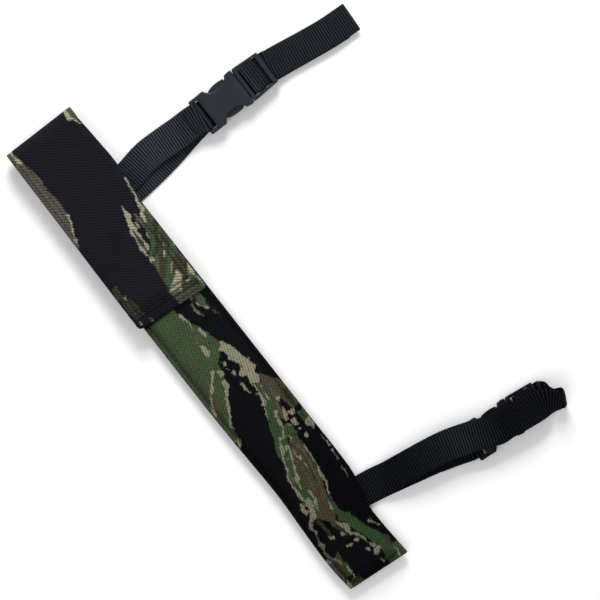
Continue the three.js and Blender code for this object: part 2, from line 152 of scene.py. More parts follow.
def rough(x, y, seed):
    coarse = 0.6 * noise(x, y, seed) + 0.28 * noise(2.1 * x, 2.1 * y, seed + 1)
    return coarse + 0.12 * noise(4.3 * x, 4.3 * y, seed + 2)


# ---------------------------------------------------------------- meshes


def make_piece(name, points, faces, material, cloth=None, tint=None):
    """Object from points in millimetres, with each point's place in its cloth and its colour: print and dye,
    with painted light and shade on some pieces.
    """
    mesh = bpy.data.meshes.new(name)
    points = np.asarray(points, float)
    faces = np.asarray(faces, int)
    mesh.vertices.add(len(points))
    mesh.vertices.foreach_set("co", (points * MM).ravel())
    mesh.loops.add(faces.size)
    mesh.loops.foreach_set("vertex_index", faces.ravel())
    mesh.polygons.add(len(faces))
    mesh.polygons.foreach_set("loop_start", np.arange(0, faces.size, faces.shape[1]))
    mesh.update(calc_edges=True)
    mesh.validate()
    mesh.polygons.foreach_set("use_smooth", np.ones(len(mesh.polygons), bool))
    place = np.zeros((len(points), 3))
    place[:, :2] = points[:, :2] if cloth is None else cloth
    mesh.attributes.new("cloth", "FLOAT_VECTOR", "POINT").data.foreach_set("vector", place.ravel())
    if tint is not None:
        colour = np.ones((len(points), 4))
        colour[:, :3] = tint
        mesh.attributes.new("tint", "FLOAT_COLOR", "POINT").data.foreach_set("color", colour.ravel())
    mesh.materials.append(material)
    piece = bpy.data.objects.new(name, mesh)
    bpy.context.scene.collection.objects.link(piece)
    return piece


def grid_faces(rows, cols, start=0, flip=False):
    index = np.arange(rows * cols).reshape(rows, cols) + start
    quads = np.stack([index[:-1, :-1], index[:-1, 1:], index[1:, 1:], index[1:, :-1]], -1).reshape(-1, 4)
    return quads[:, ::-1] if flip else quads


def grid_normals(grid):
    along = np.gradient(grid, axis=0)
    across = np.gradient(grid, axis=1)
    normal = np.cross(across, along)
    return normal / np.maximum(np.linalg.norm(normal, axis=2, keepdims=True), 1e-9)


def rim_of(rows, cols):
    """Indices round a grid's edge, in order, without repeating the first."""
    index = np.arange(rows * cols).reshape(rows, cols)
    return np.concatenate([index[0, :-1], index[:-1, -1], index[-1, :0:-1], index[:0:-1, 0]])


def thick_grid(grid, depth, bulge=0.12):
    """Closed sheet from its outer face, with a rounded edge."""
    rows, cols = grid.shape[:2]
    normal = grid_normals(grid)
    under = grid - normal * depth
    rim = rim_of(rows, cols)
    outer = grid.reshape(-1, 3)[rim]
    middle = outer - normal.reshape(-1, 3)[rim] * depth / 2
    edge = np.roll(outer, -1, 0) - np.roll(outer, 1, 0)
    out = np.cross(edge, normal.reshape(-1, 3)[rim])
    out /= np.maximum(np.linalg.norm(out, axis=1, keepdims=True), 1e-9)
    middle = middle + out * bulge
    count = rows * cols
    points = np.concatenate([grid.reshape(-1, 3), under.reshape(-1, 3), middle])
    around = np.arange(len(rim))
    following = np.roll(around, -1)
    ring = 2 * count + around
    ring_next = 2 * count + following
    upper = np.stack([rim, ring, ring_next, rim[following]], -1)
    lower = np.stack([ring, rim + count, rim[following] + count, ring_next], -1)
    faces = np.concatenate([grid_faces(rows, cols), grid_faces(rows, cols, count, True), upper, lower])
    source = np.concatenate([np.arange(count), np.arange(count), rim])
    return points, faces, source


def edges_of(panel, y):
    return smooth(panel["left"], y), smooth(panel["right"], y)


def lower_line(panel, x):
    left, right = edges_of(panel, panel["low_left"])
    return panel["low_left"] + (panel["low_right"] - panel["low_left"]) * (x - left) / (right - left)


def inside(panel, x, y):
    """Distance inside a panel's edges, rounded at its lower corners."""
    left, right = edges_of(panel, y)
    soft = 0.8
    gaps = [x - left, right - x, y - lower_line(panel, x)]
    return -soft * np.log(sum(np.exp(-np.clip(gap, -5, 60) / soft) for gap in gaps))


def panel_grid(panel, y_values, columns, inset=0.0, top=None):
    """x and y of a grid of points over a panel, from its lower edge up."""
    top = y_values[-1] if top is None else top
    share = (np.asarray(y_values) - y_values[0]) / (y_values[-1] - y_values[0])
    u = np.linspace(0, 1, columns)
    y = np.repeat(np.asarray(y_values, float)[:, None], columns, 1)
    for _ in range(4):
        left, right = edges_of(panel, y)
        x = left + inset + (right - left - 2 * inset) * u
        gap = np.minimum(x - left - inset, right - inset - x)
        r = max(panel["corner"] - inset, 0.3)
        corner = r - np.sqrt(np.maximum(r * r - np.maximum(r - gap, 0) ** 2, 0))
        bottom = lower_line(panel, x) + inset + corner
        y = bottom + (top - bottom) * share[:, None]
    return x, y


def spaced(start, end, step):
    return np.linspace(start, end, max(2, int(round(abs(end - start) / step)) + 1))


# ---------------------------------------------------------------- thread


def tubes(lines, radii, sides=6):
    """Tubes along many short centrelines: an array of (count, rings, 3)."""
    count, rings = lines.shape[:2]
    along = np.gradient(lines, axis=1)
    along /= np.maximum(np.linalg.norm(along, axis=2, keepdims=True), 1e-9)
    up = np.zeros_like(along)
    up[..., 2] = 1
    up[np.abs(along[..., 2]) > 0.9] = (1, 0, 0)
    side = np.cross(along, up)
    side /= np.linalg.norm(side, axis=2, keepdims=True)
    up = np.cross(side, along)
    angle = np.linspace(0, 2 * np.pi, sides, endpoint=False)
    offset = side[:, :, None] * np.cos(angle)[:, None] + up[:, :, None] * np.sin(angle)[:, None]
    points = lines[:, :, None] + offset * np.asarray(radii)[None, :, None, None]
    index = np.arange(count * rings * sides).reshape(count, rings, sides)
    after = np.roll(index, -1, 2)
    quads = np.stack([index[:, :-1], index[:, 1:], after[:, 1:], after[:, :-1]], -1).reshape(-1, 4)
    return points.reshape(-1, 3), quads


def along_line(line, step):
    line = np.asarray(line, float)
    gaps = np.linalg.norm(np.diff(line, axis=0), axis=1)
    reach = np.concatenate([[0], np.cumsum(gaps)])
    return reach, lambda s: np.stack([np.interp(s, reach, line[:, k]) for k in range(3)], -1)


THREAD = {"length": 2.25, "pitch": 2.75, "radius": 0.135, "arch": 0.11, "zigzag": 0.42}


def stitches(rows, gauge=1.0):
    """Thread pieces along rows of (line, up), each line lying on the cloth."""
    lines = []
    for line, up in rows:
        reach, place = along_line(line, 0.2)
        count = int((reach[-1] - THREAD["length"]) / THREAD["pitch"]) + 1
        for index in range(max(count, 1)):
            s = index * THREAD["pitch"] + np.linspace(0, THREAD["length"], 5)
            lift = np.array([-0.06, 0.08, THREAD["arch"], 0.08, -0.06])
            lines.append(place(s) + lift[:, None] * np.asarray(up, float))
    return tubes(np.array(lines), gauge * THREAD["radius"] * np.array([0.55, 0.95, 1, 0.95, 0.55]))


def zigzag(centre, along, across, length, width):
    """Line of a bar tack, to and fro across its length."""
    count = int(length / THREAD["zigzag"])
    side = np.where(np.arange(count) % 2, 0.5, -0.5) * width
    forward = (np.arange(count) / (count - 1) - 0.5) * length
    return np.asarray(centre) + forward[:, None] * np.asarray(along) + side[:, None] * np.asarray(across)


# ---------------------------------------------------------------- camouflage print

INK = {
    "night": (0.0038, 0.0040, 0.0050),
    "black": (0.0020, 0.0021, 0.0034),
    # painted light: the flap's black, the same cloth as the body's night black, is made lighter because the
    # light is brighter at the flap end
    "slate": (0.0062, 0.0064, 0.0096),
    "green": (0.0405, 0.0610, 0.0295),
    "leaf": (0.0335, 0.0605, 0.0245),
    "moss": (0.023, 0.032, 0.014),
    "brown": (0.054, 0.047, 0.0280),
    "umber": (0.036, 0.031, 0.0200),
    "khaki": (0.070, 0.067, 0.049),
    "sand": (0.200, 0.186, 0.130),
    "tan": (0.250, 0.232, 0.165),
}


def area_of(x, y, outline):
    """Distance inside a closed outline, below zero outside it."""
    nearest = np.full(x.shape, 1e9)
    within = np.zeros(x.shape, bool)
    for (ax, ay), (bx, by) in zip(outline, np.roll(outline, -1, 0)):
        ex, ey = bx - ax, by - ay
        wx, wy = x - ax, y - ay
        t = np.clip((wx * ex + wy * ey) / max(ex * ex + ey * ey, 1e-9), 0, 1)
        nearest = np.minimum(nearest, (wx - t * ex) ** 2 + (wy - t * ey) ** 2)
        crosses = (ay > y) != (by > y)
        safe = ey if abs(ey) > 1e-9 else 1e-9
        within ^= crosses & (x < ax + (y - ay) * ex / safe)
    return np.where(within, 1, -1) * np.sqrt(nearest)


def band_of(x, y, line, width):
    """Distance inside a line of some width, below zero beside it."""
    nearest = np.full(x.shape, 1e9)
    for (ax, ay), (bx, by) in zip(line[:-1], line[1:]):
        ex, ey = bx - ax, by - ay
        t = np.clip(((x - ax) * ex + (y - ay) * ey) / (ex * ex + ey * ey), 0, 1)
        nearest = np.minimum(nearest, (x - ax - t * ex) ** 2 + (y - ay - t * ey) ** 2)
    return width / 2 - np.sqrt(nearest)


def printed(x, y, base, shapes):
    """Colour of the print at each point: a base colour under areas and lines of ink, in order."""
    colour = np.empty(x.shape + (3,))
    colour[:] = INK[base]
    px = x + 1.1 * (noise(x / 2.6, y / 3.4, 11) - 0.5) + 1.0 * (noise(x / 0.9, y / 1.3, 12) - 0.5)
    py = y + 1.3 * (noise(x / 2.6, y / 3.4, 13) - 0.5) + 1.2 * (noise(x / 0.9, y / 1.3, 14) - 0.5)
    ragged = 0.8 * (noise(x / 1.1, y / 2.6, 15) - 0.5) + 0.7 * (noise(x / 4, y / 5, 16) - 0.5)
    for ink, tenths, *width in shapes:
        outline = np.reshape(tenths, (-1, 2)) / 10
        low, high = outline.min(0) - 2.5, outline.max(0) + 2.5
        near = (px > low[0]) & (px < high[0]) & (py > low[1]) & (py < high[1])
        if not near.any():
            continue
        place = px[near], py[near], outline
        depth = band_of(*place, width[0]) if width else area_of(*place)
        cover = np.clip(0.5 + (depth + ragged[near]) / 0.4, 0, 1)[:, None]
        colour[near] = colour[near] * (1 - cover) + np.array(INK[ink]) * cover
    return colour


# Printed shapes, in order: an ink, then x and y of each point in tenths of a millimetre, in the frame of the
# guard. The points bound an area, or run along a line where the line's width in millimetres follows.
FLAP_PRINT = [
    ("khaki", [-240, 1500, -176, 1500, -173, 1370, -155, 1320, -148, 1280, -150, 1180, -146, 1120, -150, 1000,
     -164, 960, -173, 936, -191, 907, -202, 850, -240, 830]),
    ("tan", [-154, 1010, -162, 970, -176, 930, -196, 880], 1.3),
    ("tan", [-200, 1500, -178, 1500, -177, 1370, -190, 1390]),
    ("green", [-240, 1470, -202, 1470, -201, 1390, -240, 1380]),
    ("tan", [161, 1500, 178, 1500, 179, 1410, 196, 1380, 205, 1350, 196, 1350, 182, 1380, 161, 1415]),
    ("green", [179, 1500, 240, 1500, 240, 1370, 198, 1386, 181, 1410]),
    ("green", [116, 790, 140, 788, 196, 790, 240, 760, 240, 240, 29, 240, 29, 296, 27, 370, 34, 407, 36, 460,
     41, 500, 46, 600, 86, 606, 98, 614, 116, 643, 123, 693, 140, 734, 124, 750]),
    ("tan", [103, 876, 95, 850, 87, 829, 73, 786, 55, 750, 48, 714, 46, 643, 46, 560, 56, 554, 56, 610,
     66, 604, 87, 610, 91, 664, 94, 714, 98, 750, 101, 786, 111, 821, 109, 857]),
    ("umber", [66, 754, 80, 754, 85, 700, 75, 616, 56, 600, 55, 700]),
    ("slate", [112, 800, 130, 804, 156, 770, 156, 738, 140, 736, 123, 693, 116, 643, 98, 612, 92, 624,
     95, 670, 98, 720, 101, 770]),
    ("tan", [106, 766, 112, 762, 109, 730, 104, 734]),
    ("khaki", [133, 804, 135, 716], 0.7),
    ("tan", [154, 796, 169, 792, 166, 772, 152, 734, 149, 750]),
    ("tan", [195, 910, 184, 865, 174, 825, 168, 794, 177, 784, 192, 800, 196, 850]),
    ("tan", [206, 984, 204, 850], 0.9),
    ("green", [209, 950, 208, 840], 0.7),
    ("tan", [117, 694, 126, 690, 123, 656, 116, 660]),
    ("umber", [155, 704, 153, 600], 1.1),
    ("khaki", [174, 690, 162, 620], 0.8),
    ("moss", [198, 720, 130, 610, 80, 570], 1.6),
    ("umber", [198, 645, 154, 588, 100, 534, 48, 458], 3.1),
    ("tan", [156, 588, 140, 564, 122, 542], 0.8),
    ("khaki", [92, 550, 66, 520, 46, 486], 0.8),
    ("tan", [44, 580, 67, 572, 65, 550, 44, 552]),
    ("moss", [116, 524, 86, 488, 60, 450], 1.5),
    ("moss", [198, 610, 176, 580, 158, 554], 1.5),
    ("tan", [164, 518, 132, 480, 100, 448], 0.9),
    ("umber", [144, 516, 196, 520, 196, 430, 168, 400, 140, 410, 110, 386, 108, 430, 134, 470]),
    ("moss", [182, 540, 179, 420], 0.8),
    ("tan", [130, 436, 87, 422, 44, 394, 33, 357, 33, 280, 66, 280, 76, 316, 90, 344, 110, 380, 132, 408]),
    ("khaki", [32, 358, 72, 346, 82, 326, 74, 270, 32, 270]),
    ("tan", [200, 436, 170, 398, 167, 364, 180, 362, 200, 390]),
    ("umber", [130, 394, 152, 390, 146, 356, 128, 358]),
    ("tan", [134, 366, 149, 369, 147, 354, 133, 354]),
    ("khaki", [66, 320, 126, 316, 124, 280, 50, 280]),
    ("moss", [150, 344, 184, 340, 182, 310, 154, 314]),
    ("tan", [192, 344, 194, 270], 1.0),
    ("umber", [-206, 575, -182, 570, -182, 370, -206, 360]),
    ("tan", [-179, 496, -166, 494, -166, 480, -179, 480]),
    ("moss", [-182, 480, -155, 480, -146, 420, -143, 354, -178, 370]),
    ("tan", [-198, 354, -186, 352, -186, 332, -198, 334]),
    ("khaki", [-143, 330, -125, 328, -125, 304, -143, 306]),
]

BODY_PRINT = [
    # upper left: green field that runs out to a point at the left edge
    ("green", [-240, 310, -13, 310, -11, 283, -3, 228, 18, 178, 48, 103, 73, 37, 81, -4, 46, -20, 33, -44,
     10, -64, -4, -86, -6, -110, -19, -147, -26, -180, -42, -220, -73, -246, -80, -276, -94, -302, -120, -348,
     -156, -388, -162, -450, -240, -450]),
    ("brown", [-76, -132, -120, -190, -163, -256, -170, -300], 2.3),
    ("khaki", [-86, -164, -126, -214, -154, -260], 0.7),
    ("sand", [-55, -96, -84, -132, -115, -170, -169, -236, -182, -284], 1.35),
    ("sand", [-12, 244, -4, 216, 6, 193], 1.2),
    ("khaki", [11, 186, -2, 130, -19, 76], 1.2),
    ("sand", [12, 182, 2, 146], 0.8),
    ("sand", [20, 134, 34, 130, 45, 84, 36, 66, 26, 80]),
    ("sand", [-19, 58, -8, 52, -3, 4, -14, -19, -27, 2]),
    ("sand", [-34, -112, -13, -116, -19, -148, -39, -146]),
    ("sand", [-49, -168, -28, -172, -34, -208, -62, -240, -75, -234, -56, -200]),
    ("sand", [-86, -243, -72, -249, -82, -274, -100, -282]),
    ("sand", [-98, -296, -126, -340, -154, -386], 1.4),
    ("sand", [-186, -454, -162, -452, -163, -480, -184, -504]),
    # upper right
    ("khaki", [67, 262, 84, 258, 83, 210, 100, 172, 92, 164, 69, 200]),
    ("sand", [70, 220, 73, 196, 94, 168], 0.9),
    ("green", [114, 310, 152, 310, 149, 210, 148, 172, 130, 192, 114, 220]),
    ("sand", [92, 290, 100, 254, 112, 214, 142, 180], 1.0),
    ("brown", [104, 300, 110, 240], 0.8),
    ("moss", [141, 164, 157, 154, 156, 122, 143, 128]),
    ("brown", [135, -250, 160, -276, 182, -312, 212, -360, 214, -500, 166, -500, 152, -430, 129, -414,
     116, -496, 94, -540, 84, -500, 92, -396, 98, -330]),
    ("moss", [174, -380, 202, -400, 198, -490, 172, -490]),
    ("khaki", [126, -310, 134, -374, 110, -460], 1.0),
    # wide light streak down the middle
    ("sand", [77, 4, 47, -20, 64, -46, 60, -80, 47, -98, 73, -122, 89, -147, 85, -176, 51, -186, 55, -212,
     81, -224, 73, -263, 72, -305, 62, -350, 44, -400, 56, -404, 72, -366, 84, -310, 83, -290, 99, -296,
     96, -330, 83, -380, 94, -380, 108, -297, 128, -255, 131, -222, 158, -212, 148, -180, 127, -130, 110, -63,
     93, -10]),
    ("green", [82, -274, 100, -280, 96, -340, 84, -330]),
    ("sand", [12, -86, 31, -92, 23, -112, 5, -108]),
    ("sand", [21, -152, 45, -158, 31, -182]),
    ("sand", [30, -236, 30, -270, 40, -304], 0.9),
    ("sand", [18, -126, 26, -136], 0.7),
    # dark field right of the stripe, with flecks
    ("sand", [121, -410, 148, -410, 147, -428, 124, -426]),
    ("black", [134, -429, 150, -433, 143, -480, 130, -506, 168, -524, 216, -520, 220, -900, 200, -1030,
     174, -1180, 156, -1260, 152, -1380, 120, -1390, 20, -990, 50, -880, 90, -620, 98, -540, 118, -510,
     128, -470]),
    ("sand", [129, -426, 118, -486, 102, -528], 0.9),
    ("sand", [130, -502, 164, -508, 158, -534, 140, -522]),
    ("sand", [117, -548, 144, -542, 136, -566, 140, -586, 123, -578]),
    ("sand", [127, -600, 132, -610], 0.8),
    ("sand", [126, -644, 140, -644, 138, -674, 127, -672]),
    ("leaf", [168, -536, 214, -526, 214, -594, 170, -596]),
    ("sand", [170, -598, 208, -584, 204, -630, 182, -664, 174, -630]),
    ("sand", [196, -710, 192, -780], 0.9),
    ("sand", [190, -810, 188, -860], 0.8),
    ("sand", [179, -900, 175, -960], 0.8),
    ("sand", [121, -1216, 130, -1240, 144, -1268], 1.1),
    # long green stripe, its light outline and its brown core
    ("leaf", [74, -310, 68, -340, 72, -386, 45, -425, 22, -463, 10, -509, -9, -570, -36, -609, -52, -655,
     -48, -702, -55, -740, -82, -786, -90, -817, -86, -950, -100, -1040, -30, -1040, 40, -620, 50, -610,
     99, -615, 98, -560, 69, -546, 72, -494, 82, -460, 98, -402, 100, -310]),
    ("sand", [66, -330, 70, -386, 44, -424, 22, -466], 0.8),
    ("sand", [99, -350, 95, -394], 0.9),
    ("sand", [79, -460, 69, -496, 55, -555, 35, -598], 1.1),
    ("sand", [12, -584, -9, -624, -36, -670, -49, -696, -56, -740], 1.1),
    ("sand", [-56, -734, -82, -790, -88, -820, -85, -880, -80, -930, -87, -980], 1.4),
    ("khaki", [-60, -750, -72, -800], 0.6),
    ("sand", [1, -635, 26, -638, 19, -660, -1, -656]),
    ("sand", [-24, -700, -16, -702], 1.0),
    ("sand", [90, -560, 93, -570], 0.8),
    ("sand", [-55, -800, -59, -864], 0.9),
    ("moss", [-72, -840, -66, -920], 0.9),
    ("brown", [56, -617, 95, -623, 87, -686, 83, -725, 79, -817, 68, -878, 57, -895, 37, -942, 25, -995,
     10, -1034, -5, -1072, -21, -1110, -40, -1144, -46, -1134, -59, -1072, -88, -1042, -55, -995, -28, -950,
     -36, -900, -39, -860, -36, -817, -21, -763, -2, -717, 29, -663]),
    ("moss", [56, -700, 44, -800, 20, -920], 0.9),
    ("khaki", [66, -660, 64, -770, 46, -860, 0, -980], 1.0),
    ("khaki", [14, -740, 4, -840, -14, -920], 0.8),
    ("sand", [62, -610, 29, -659, -3, -714, -23, -763, -39, -820], 1.0),
    ("sand", [32, -674, 30, -730, 35, -796], 0.8),
    ("sand", [86, -700, 83, -760, 80, -820, 69, -880, 62, -934, 38, -954, 33, -996], 0.9),
    ("sand", [13, -992, 22, -996, 16, -1042, 0, -1046]),
    ("sand", [-38, -896, -33, -946, -57, -988], 1.1),
    ("sand", [-62, -926, -70, -966, -56, -1006], 0.9),
    ("leaf", [-76, -880, -58, -880, -66, -924, -75, -928]),
    ("sand", [-88, -970, -76, -986, -84, -1036, -116, -1034, -142, -1068, -162, -1064, -154, -1046,
     -118, -1014]),
    # dark field on the left, where the stripe breaks into fingers
    ("sand", [-109, -926, -104, -950, -110, -984, -124, -990, -121, -956]),
    ("moss", [-100, -1050, -81, -1054, -80, -1100, -84, -1170, -96, -1160]),
    ("khaki", [-106, -1084, -102, -1116], 0.8),
    ("black", [-82, -1062, -62, -1066, -54, -1100, -46, -1144, -78, -1140]),
    ("black", [-140, -1066, -126, -1046, -103, -1052, -100, -1120, -110, -1170, -140, -1160]),
    ("sand", [-104, -1152, -78, -1164, -81, -1180, -100, -1172]),
    ("sand", [-158, -1056, -145, -1100, -151, -1134, -170, -1164], 0.9),
    ("sand", [-155, -1138, -142, -1170, -155, -1198, -174, -1190, -173, -1160]),
    ("leaf", [-136, -1254, -112, -1250, -113, -1310, -120, -1380, -148, -1380, -146, -1310]),
    ("sand", [-168, -1208, -163, -1246, -150, -1268, -134, -1298], 1.1),
    ("khaki", [-200, -1250, -168, -1244, -158, -1280, -200, -1290]),
    ("brown", [-200, -1276, -148, -1284, -136, -1330, -150, -1396, -200, -1396]),
    ("khaki", [-182, -1286, -178, -1386], 0.9),
    ("moss", [-164, -1290, -162, -1390], 0.8),
    ("sand", [-190, -1260, -176, -1274], 0.8),
    ("sand", [-126, -1336, -120, -1380, -126, -1420], 0.9),
    ("sand", [-186, -1398, -152, -1400, -152, -1454, -184, -1454]),
    ("leaf", [-152, -1400, -120, -1398, -98, -1420, -96, -1456, -152, -1456]),
    # green streak that leaves the stripe and runs to the lower end
    ("leaf", [25, -998, 10, -1045, -9, -1103, 22, -1165, 25, -1188, 48, -1240, 56, -1295, 76, -1349,
     72, -1380, 72, -1500, 125, -1500, 128, -1418, 142, -1380, 146, -1342, 122, -1288, 98, -1234, 75, -1188,
     80, -1168, 56, -1118, 33, -1057, 38, -1002]),
    ("moss", [-45, -1140, -23, -1138, -7, -1188, -25, -1186]),
    ("sand", [-22, -1100, -9, -1124, 23, -1165, 11, -1190, 6, -1212, -6, -1182, -27, -1142]),
    ("sand", [5, -1206, 28, -1234, 40, -1272, 45, -1303, 62, -1330], 1.0),
    ("sand", [-42, -1172, -22, -1180, -20, -1198, -38, -1192]),
    ("sand", [-46, -1252, -37, -1258], 2.0),
    ("sand", [0, -1254, 9, -1260], 1.8),
    ("sand", [20, -1320, 27, -1332], 2.0),
    ("sand", [72, -1338, 80, -1368, 50, -1384, 32, -1376, 46, -1358]),
    ("sand", [51, -1414, 52, -1436], 1.1),
    ("khaki", [132, -1382, 156, -1386, 180, -1370, 180, -1500, 126, -1500, 129, -1420]),
    ("sand", [146, -1386, 140, -1420, 136, -1480], 1.0),
    ("leaf", [162, -1400, 154, -1480], 1.0),
]


def covered_print(x, y, colour):
    """Carries the print on under the flap, where it grows from smooth fields."""
    field = rough((x + 40) / 11, (y + 400) / 17, 31)
    other = rough((x + 90) / 9, (y + 300) / 13, 41)
    hidden = np.empty(x.shape + (3,))
    hidden[:] = INK["night"]
    hidden[field > 0.50] = INK["green"]
    hidden[(field > 0.475) & (field < 0.50)] = INK["sand"]
    hidden[other > 0.60] = INK["brown"]
    mix = step_up(28, 30, y)[..., None]
    return colour * (1 - mix) + hidden * mix


# ---------------------------------------------------------------- materials


class Nodes:
    """Node tree of one material, wired by name."""

    def __init__(self, name):
        self.material = bpy.data.materials.new(name)
        self.material.use_nodes = True
        self.tree = self.material.node_tree
        self.shader = self.tree.nodes["Principled BSDF"]

    def add(self, kind, inputs=(), **settings):
        node = self.tree.nodes.new(kind)
        for key, value in settings.items():
            setattr(node, key, value)
        for index, value in enumerate(inputs):
            if value is None:
                continue
            if isinstance(value, bpy.types.NodeSocket):
                self.tree.links.new(value, node.inputs[index])
            else:
                node.inputs[index].default_value = value
        return node

    def math(self, operation, *values):
        return self.add("ShaderNodeMath", values, operation=operation).outputs[0]

    def plus(self, field, other, share):
        return self.math("ADD", field, self.math("MULTIPLY", other, share))

    def link(self, socket, name):
        self.tree.links.new(socket, self.shader.inputs[name])

    def place(self):
        """Coordinates in the cloth: across and along, in millimetres."""
        return self.add("ShaderNodeAttribute", attribute_name="cloth").outputs["Vector"]

    def grain(self, place, scale, detail=3.0, roughness=0.6):
        node = self.add("ShaderNodeTexNoise")
        self.tree.links.new(place, node.inputs["Vector"])
        node.inputs["Scale"].default_value = scale
        node.inputs["Detail"].default_value = detail
        node.inputs["Roughness"].default_value = roughness
        return node.outputs[0]

    def finish(self, roughness, specular):
        self.shader.inputs["Roughness"].default_value = roughness
        self.shader.inputs["Specular IOR Level"].default_value = specular

    def scaled_colour(self, base, shade):
        """Base colour made lighter and darker by a field round 1."""
        scaled = self.add("ShaderNodeVectorMath", (base,), operation="SCALE")
        self.tree.links.new(shade, scaled.inputs["Scale"])
        self.link(scaled.outputs[0], "Base Color")

    def bump(self, height, strength, distance):
        node = self.add("ShaderNodeBump")
        node.inputs["Strength"].default_value = strength
        node.inputs["Distance"].default_value = distance
        self.tree.links.new(height, node.inputs["Height"])
        self.link(node.outputs[0], "Normal")


def woven(name, colour=None, yarn=(0.42, 0.42), spread=0.3, relief=0.5, roughness=0.9, specular=0.1,
          wear=0.25, twill=(), rib=0.0):
    """Weave: yarns over and under each other, flecked and worn unevenly, with twill lines or ribs; the yarns,
    twill lines and ribs are painted into the colour too, as painted shade in their hollows and painted
    highlight on their tops.
    """
    nodes = Nodes(name)
    place = nodes.place()
    axes = nodes.add("ShaderNodeSeparateXYZ", (place,))
    across = nodes.math("SINE", nodes.math("MULTIPLY", axes.outputs[0], math.pi / yarn[0]))
    along = nodes.math("SINE", nodes.math("MULTIPLY", axes.outputs[1], math.pi / yarn[1]))
    weave = nodes.math("MULTIPLY", across, along)
    fleck = nodes.grain(place, 0.95, 3.0, 0.8)
    cloud = nodes.grain(place, 0.11, 3.0, 0.55)
    shade = nodes.plus(1.0, nodes.math("SUBTRACT", fleck, 0.5), spread * 3)
    shade = nodes.plus(shade, nodes.math("SUBTRACT", cloud, 0.5), wear * 2)
    # painted shade and highlight: the colour follows the relief of the yarns
    shade = nodes.plus(shade, weave, 0.14)
    height = nodes.plus(nodes.math("MULTIPLY", weave, 0.5), fleck, 0.6)
    for pitch_x, pitch_y, strength in twill:
        run_x = nodes.math("MULTIPLY", axes.outputs[0], 2 * math.pi / pitch_x)
        run_y = nodes.math("MULTIPLY", axes.outputs[1], 2 * math.pi / pitch_y)
        wave = nodes.math("SINE", nodes.math("ADD", run_x, run_y))
        # painted shade and highlight along the twill lines
        shade = nodes.plus(shade, wave, strength)
        height = nodes.plus(height, wave, 1.6 * strength)
    if rib:
        # painted highlight on the ribs' tops and painted shade in the grooves between them
        ridge = nodes.math("COSINE", nodes.math("MULTIPLY", axes.outputs[1], 2 * math.pi / RIB))
        shade = nodes.math("SUBTRACT", shade, nodes.math("MULTIPLY", ridge, rib))
    base = colour
    if colour is None:
        base = nodes.add("ShaderNodeAttribute", attribute_name="tint").outputs["Color"]
    nodes.scaled_colour(base, shade)
    nodes.finish(roughness, specular)
    nodes.bump(height, relief, 0.0001)
    return nodes.material


def moulded(name, colour, roughness, specular):
    """Satin injection-moulded plastic with a faint grain and handling marks."""
    nodes = Nodes(name)
    place = nodes.add("ShaderNodeTexCoord").outputs["Object"]
    grain = nodes.grain(place, 2600.0, 2.0, 0.5)
    marks = nodes.grain(place, 120.0, 4.0, 0.6)
    shade = nodes.math("ADD", nodes.math("MULTIPLY", marks, 0.5), 0.75)
    nodes.scaled_colour(colour, shade)
    nodes.finish(roughness, specular)
    nodes.link(nodes.math("ADD", nodes.math("MULTIPLY", marks, 0.22), roughness - 0.11), "Roughness")
    nodes.bump(grain, 0.25, 0.00005)
    return nodes.material


cover_cloth = woven("cover_print", spread=0.75, relief=0.8, specular=0.04,
                    twill=[(1.54, -4.1, 0.28), (3.0, 1.72, 0.1)])
flap_cloth = woven("flap_print", spread=0.75, relief=0.8, twill=[(2.56, 1.75, 0.34), (1.37, -4.5, 0.08)])
lining_cloth = woven("lining_weave", (0.0065, 0.0070, 0.0090), (0.5, 0.5), spread=0.4)
# painted light and shade: the two loops are one webbing; the upper copy is shinier as painted sheen, the
# lower duller as painted shade
webbing_cloth = {
    "upper": woven("upper_webbing_weave_lit", None, (1.1, 0.73), 0.9, relief=0.9, specular=0.07, rib=0.95),
    "lower": woven("lower_webbing_weave_shaded", None, (1.1, 0.73), 0.9, relief=0.9, specular=0.02, rib=0.95),
}
thread_black = woven("thread_black", (0.009, 0.0095, 0.0115), (0.2, 0.2), 0.4, specular=0.2)
loop_pile = woven("loop_pile", (0.008, 0.0085, 0.0105), (0.3, 0.3), 0.8, relief=1.0)
hook_nylon = woven("hook_nylon", (0.007, 0.0075, 0.009), (0.45, 0.45), specular=0.3, roughness=0.6)
foam_cells = woven("foam_cells", (0.045, 0.045, 0.048), (0.9, 0.9), 0.8, relief=1.0, roughness=0.95)
plate_plastic = moulded("plate_plastic", (0.018, 0.021, 0.025), 0.5, 0.36)
buckle_plastic = {
    "upper": moulded("upper_buckle_plastic", (0.0044, 0.0064, 0.0130), 0.46, 0.33),
    # painted shade: the lower buckle is the upper one's plastic made darker and duller, for the shade it lies
    # in under its webbing
    "lower": moulded("lower_buckle_plastic_shaded", (0.0014, 0.0016, 0.0026), 0.5, 0.12),
}


# ---------------------------------------------------------------- padded sleeve


def wrinkles(x, y, d):
    """Soft creases and puckers of the cover, fading under the flap."""
    open_part = 1 - step_up(16, 26, y)
    soft = rough((x + 60) / 9, (y + 300) / 15, 51) - 0.5
    fine = rough((x + 60 + 0.35 * y) / 4.2, (y + 300) / 7, 61) - 0.5
    tight = np.sin(2 * np.pi * y / 5.5 + 4 * noise(x / 9, y / 9, 71)) * hump(4.4, 1.7, d)
    return open_part * (0.55 * soft * step_up(3, 8, d) + 0.28 * fine * step_up(2, 6, d)) + 0.13 * tight


def cover_height(x, y):
    d = inside(SLEEVE, x, y)
    rise = smooth(COVER_RISE, np.clip(d, 0, 59))
    stitch_dip = 0.1 * np.cos(2 * np.pi * y / THREAD["pitch"]) * hump(COVER_SEAM, 0.7, d)
    return rise + wrinkles(x, y, d) * step_up(0.4, 2.5, d) + stitch_dip


def back_height(x, y):
    """Height of the seam line on the arm face."""
    return np.full_like(x, 0.06)


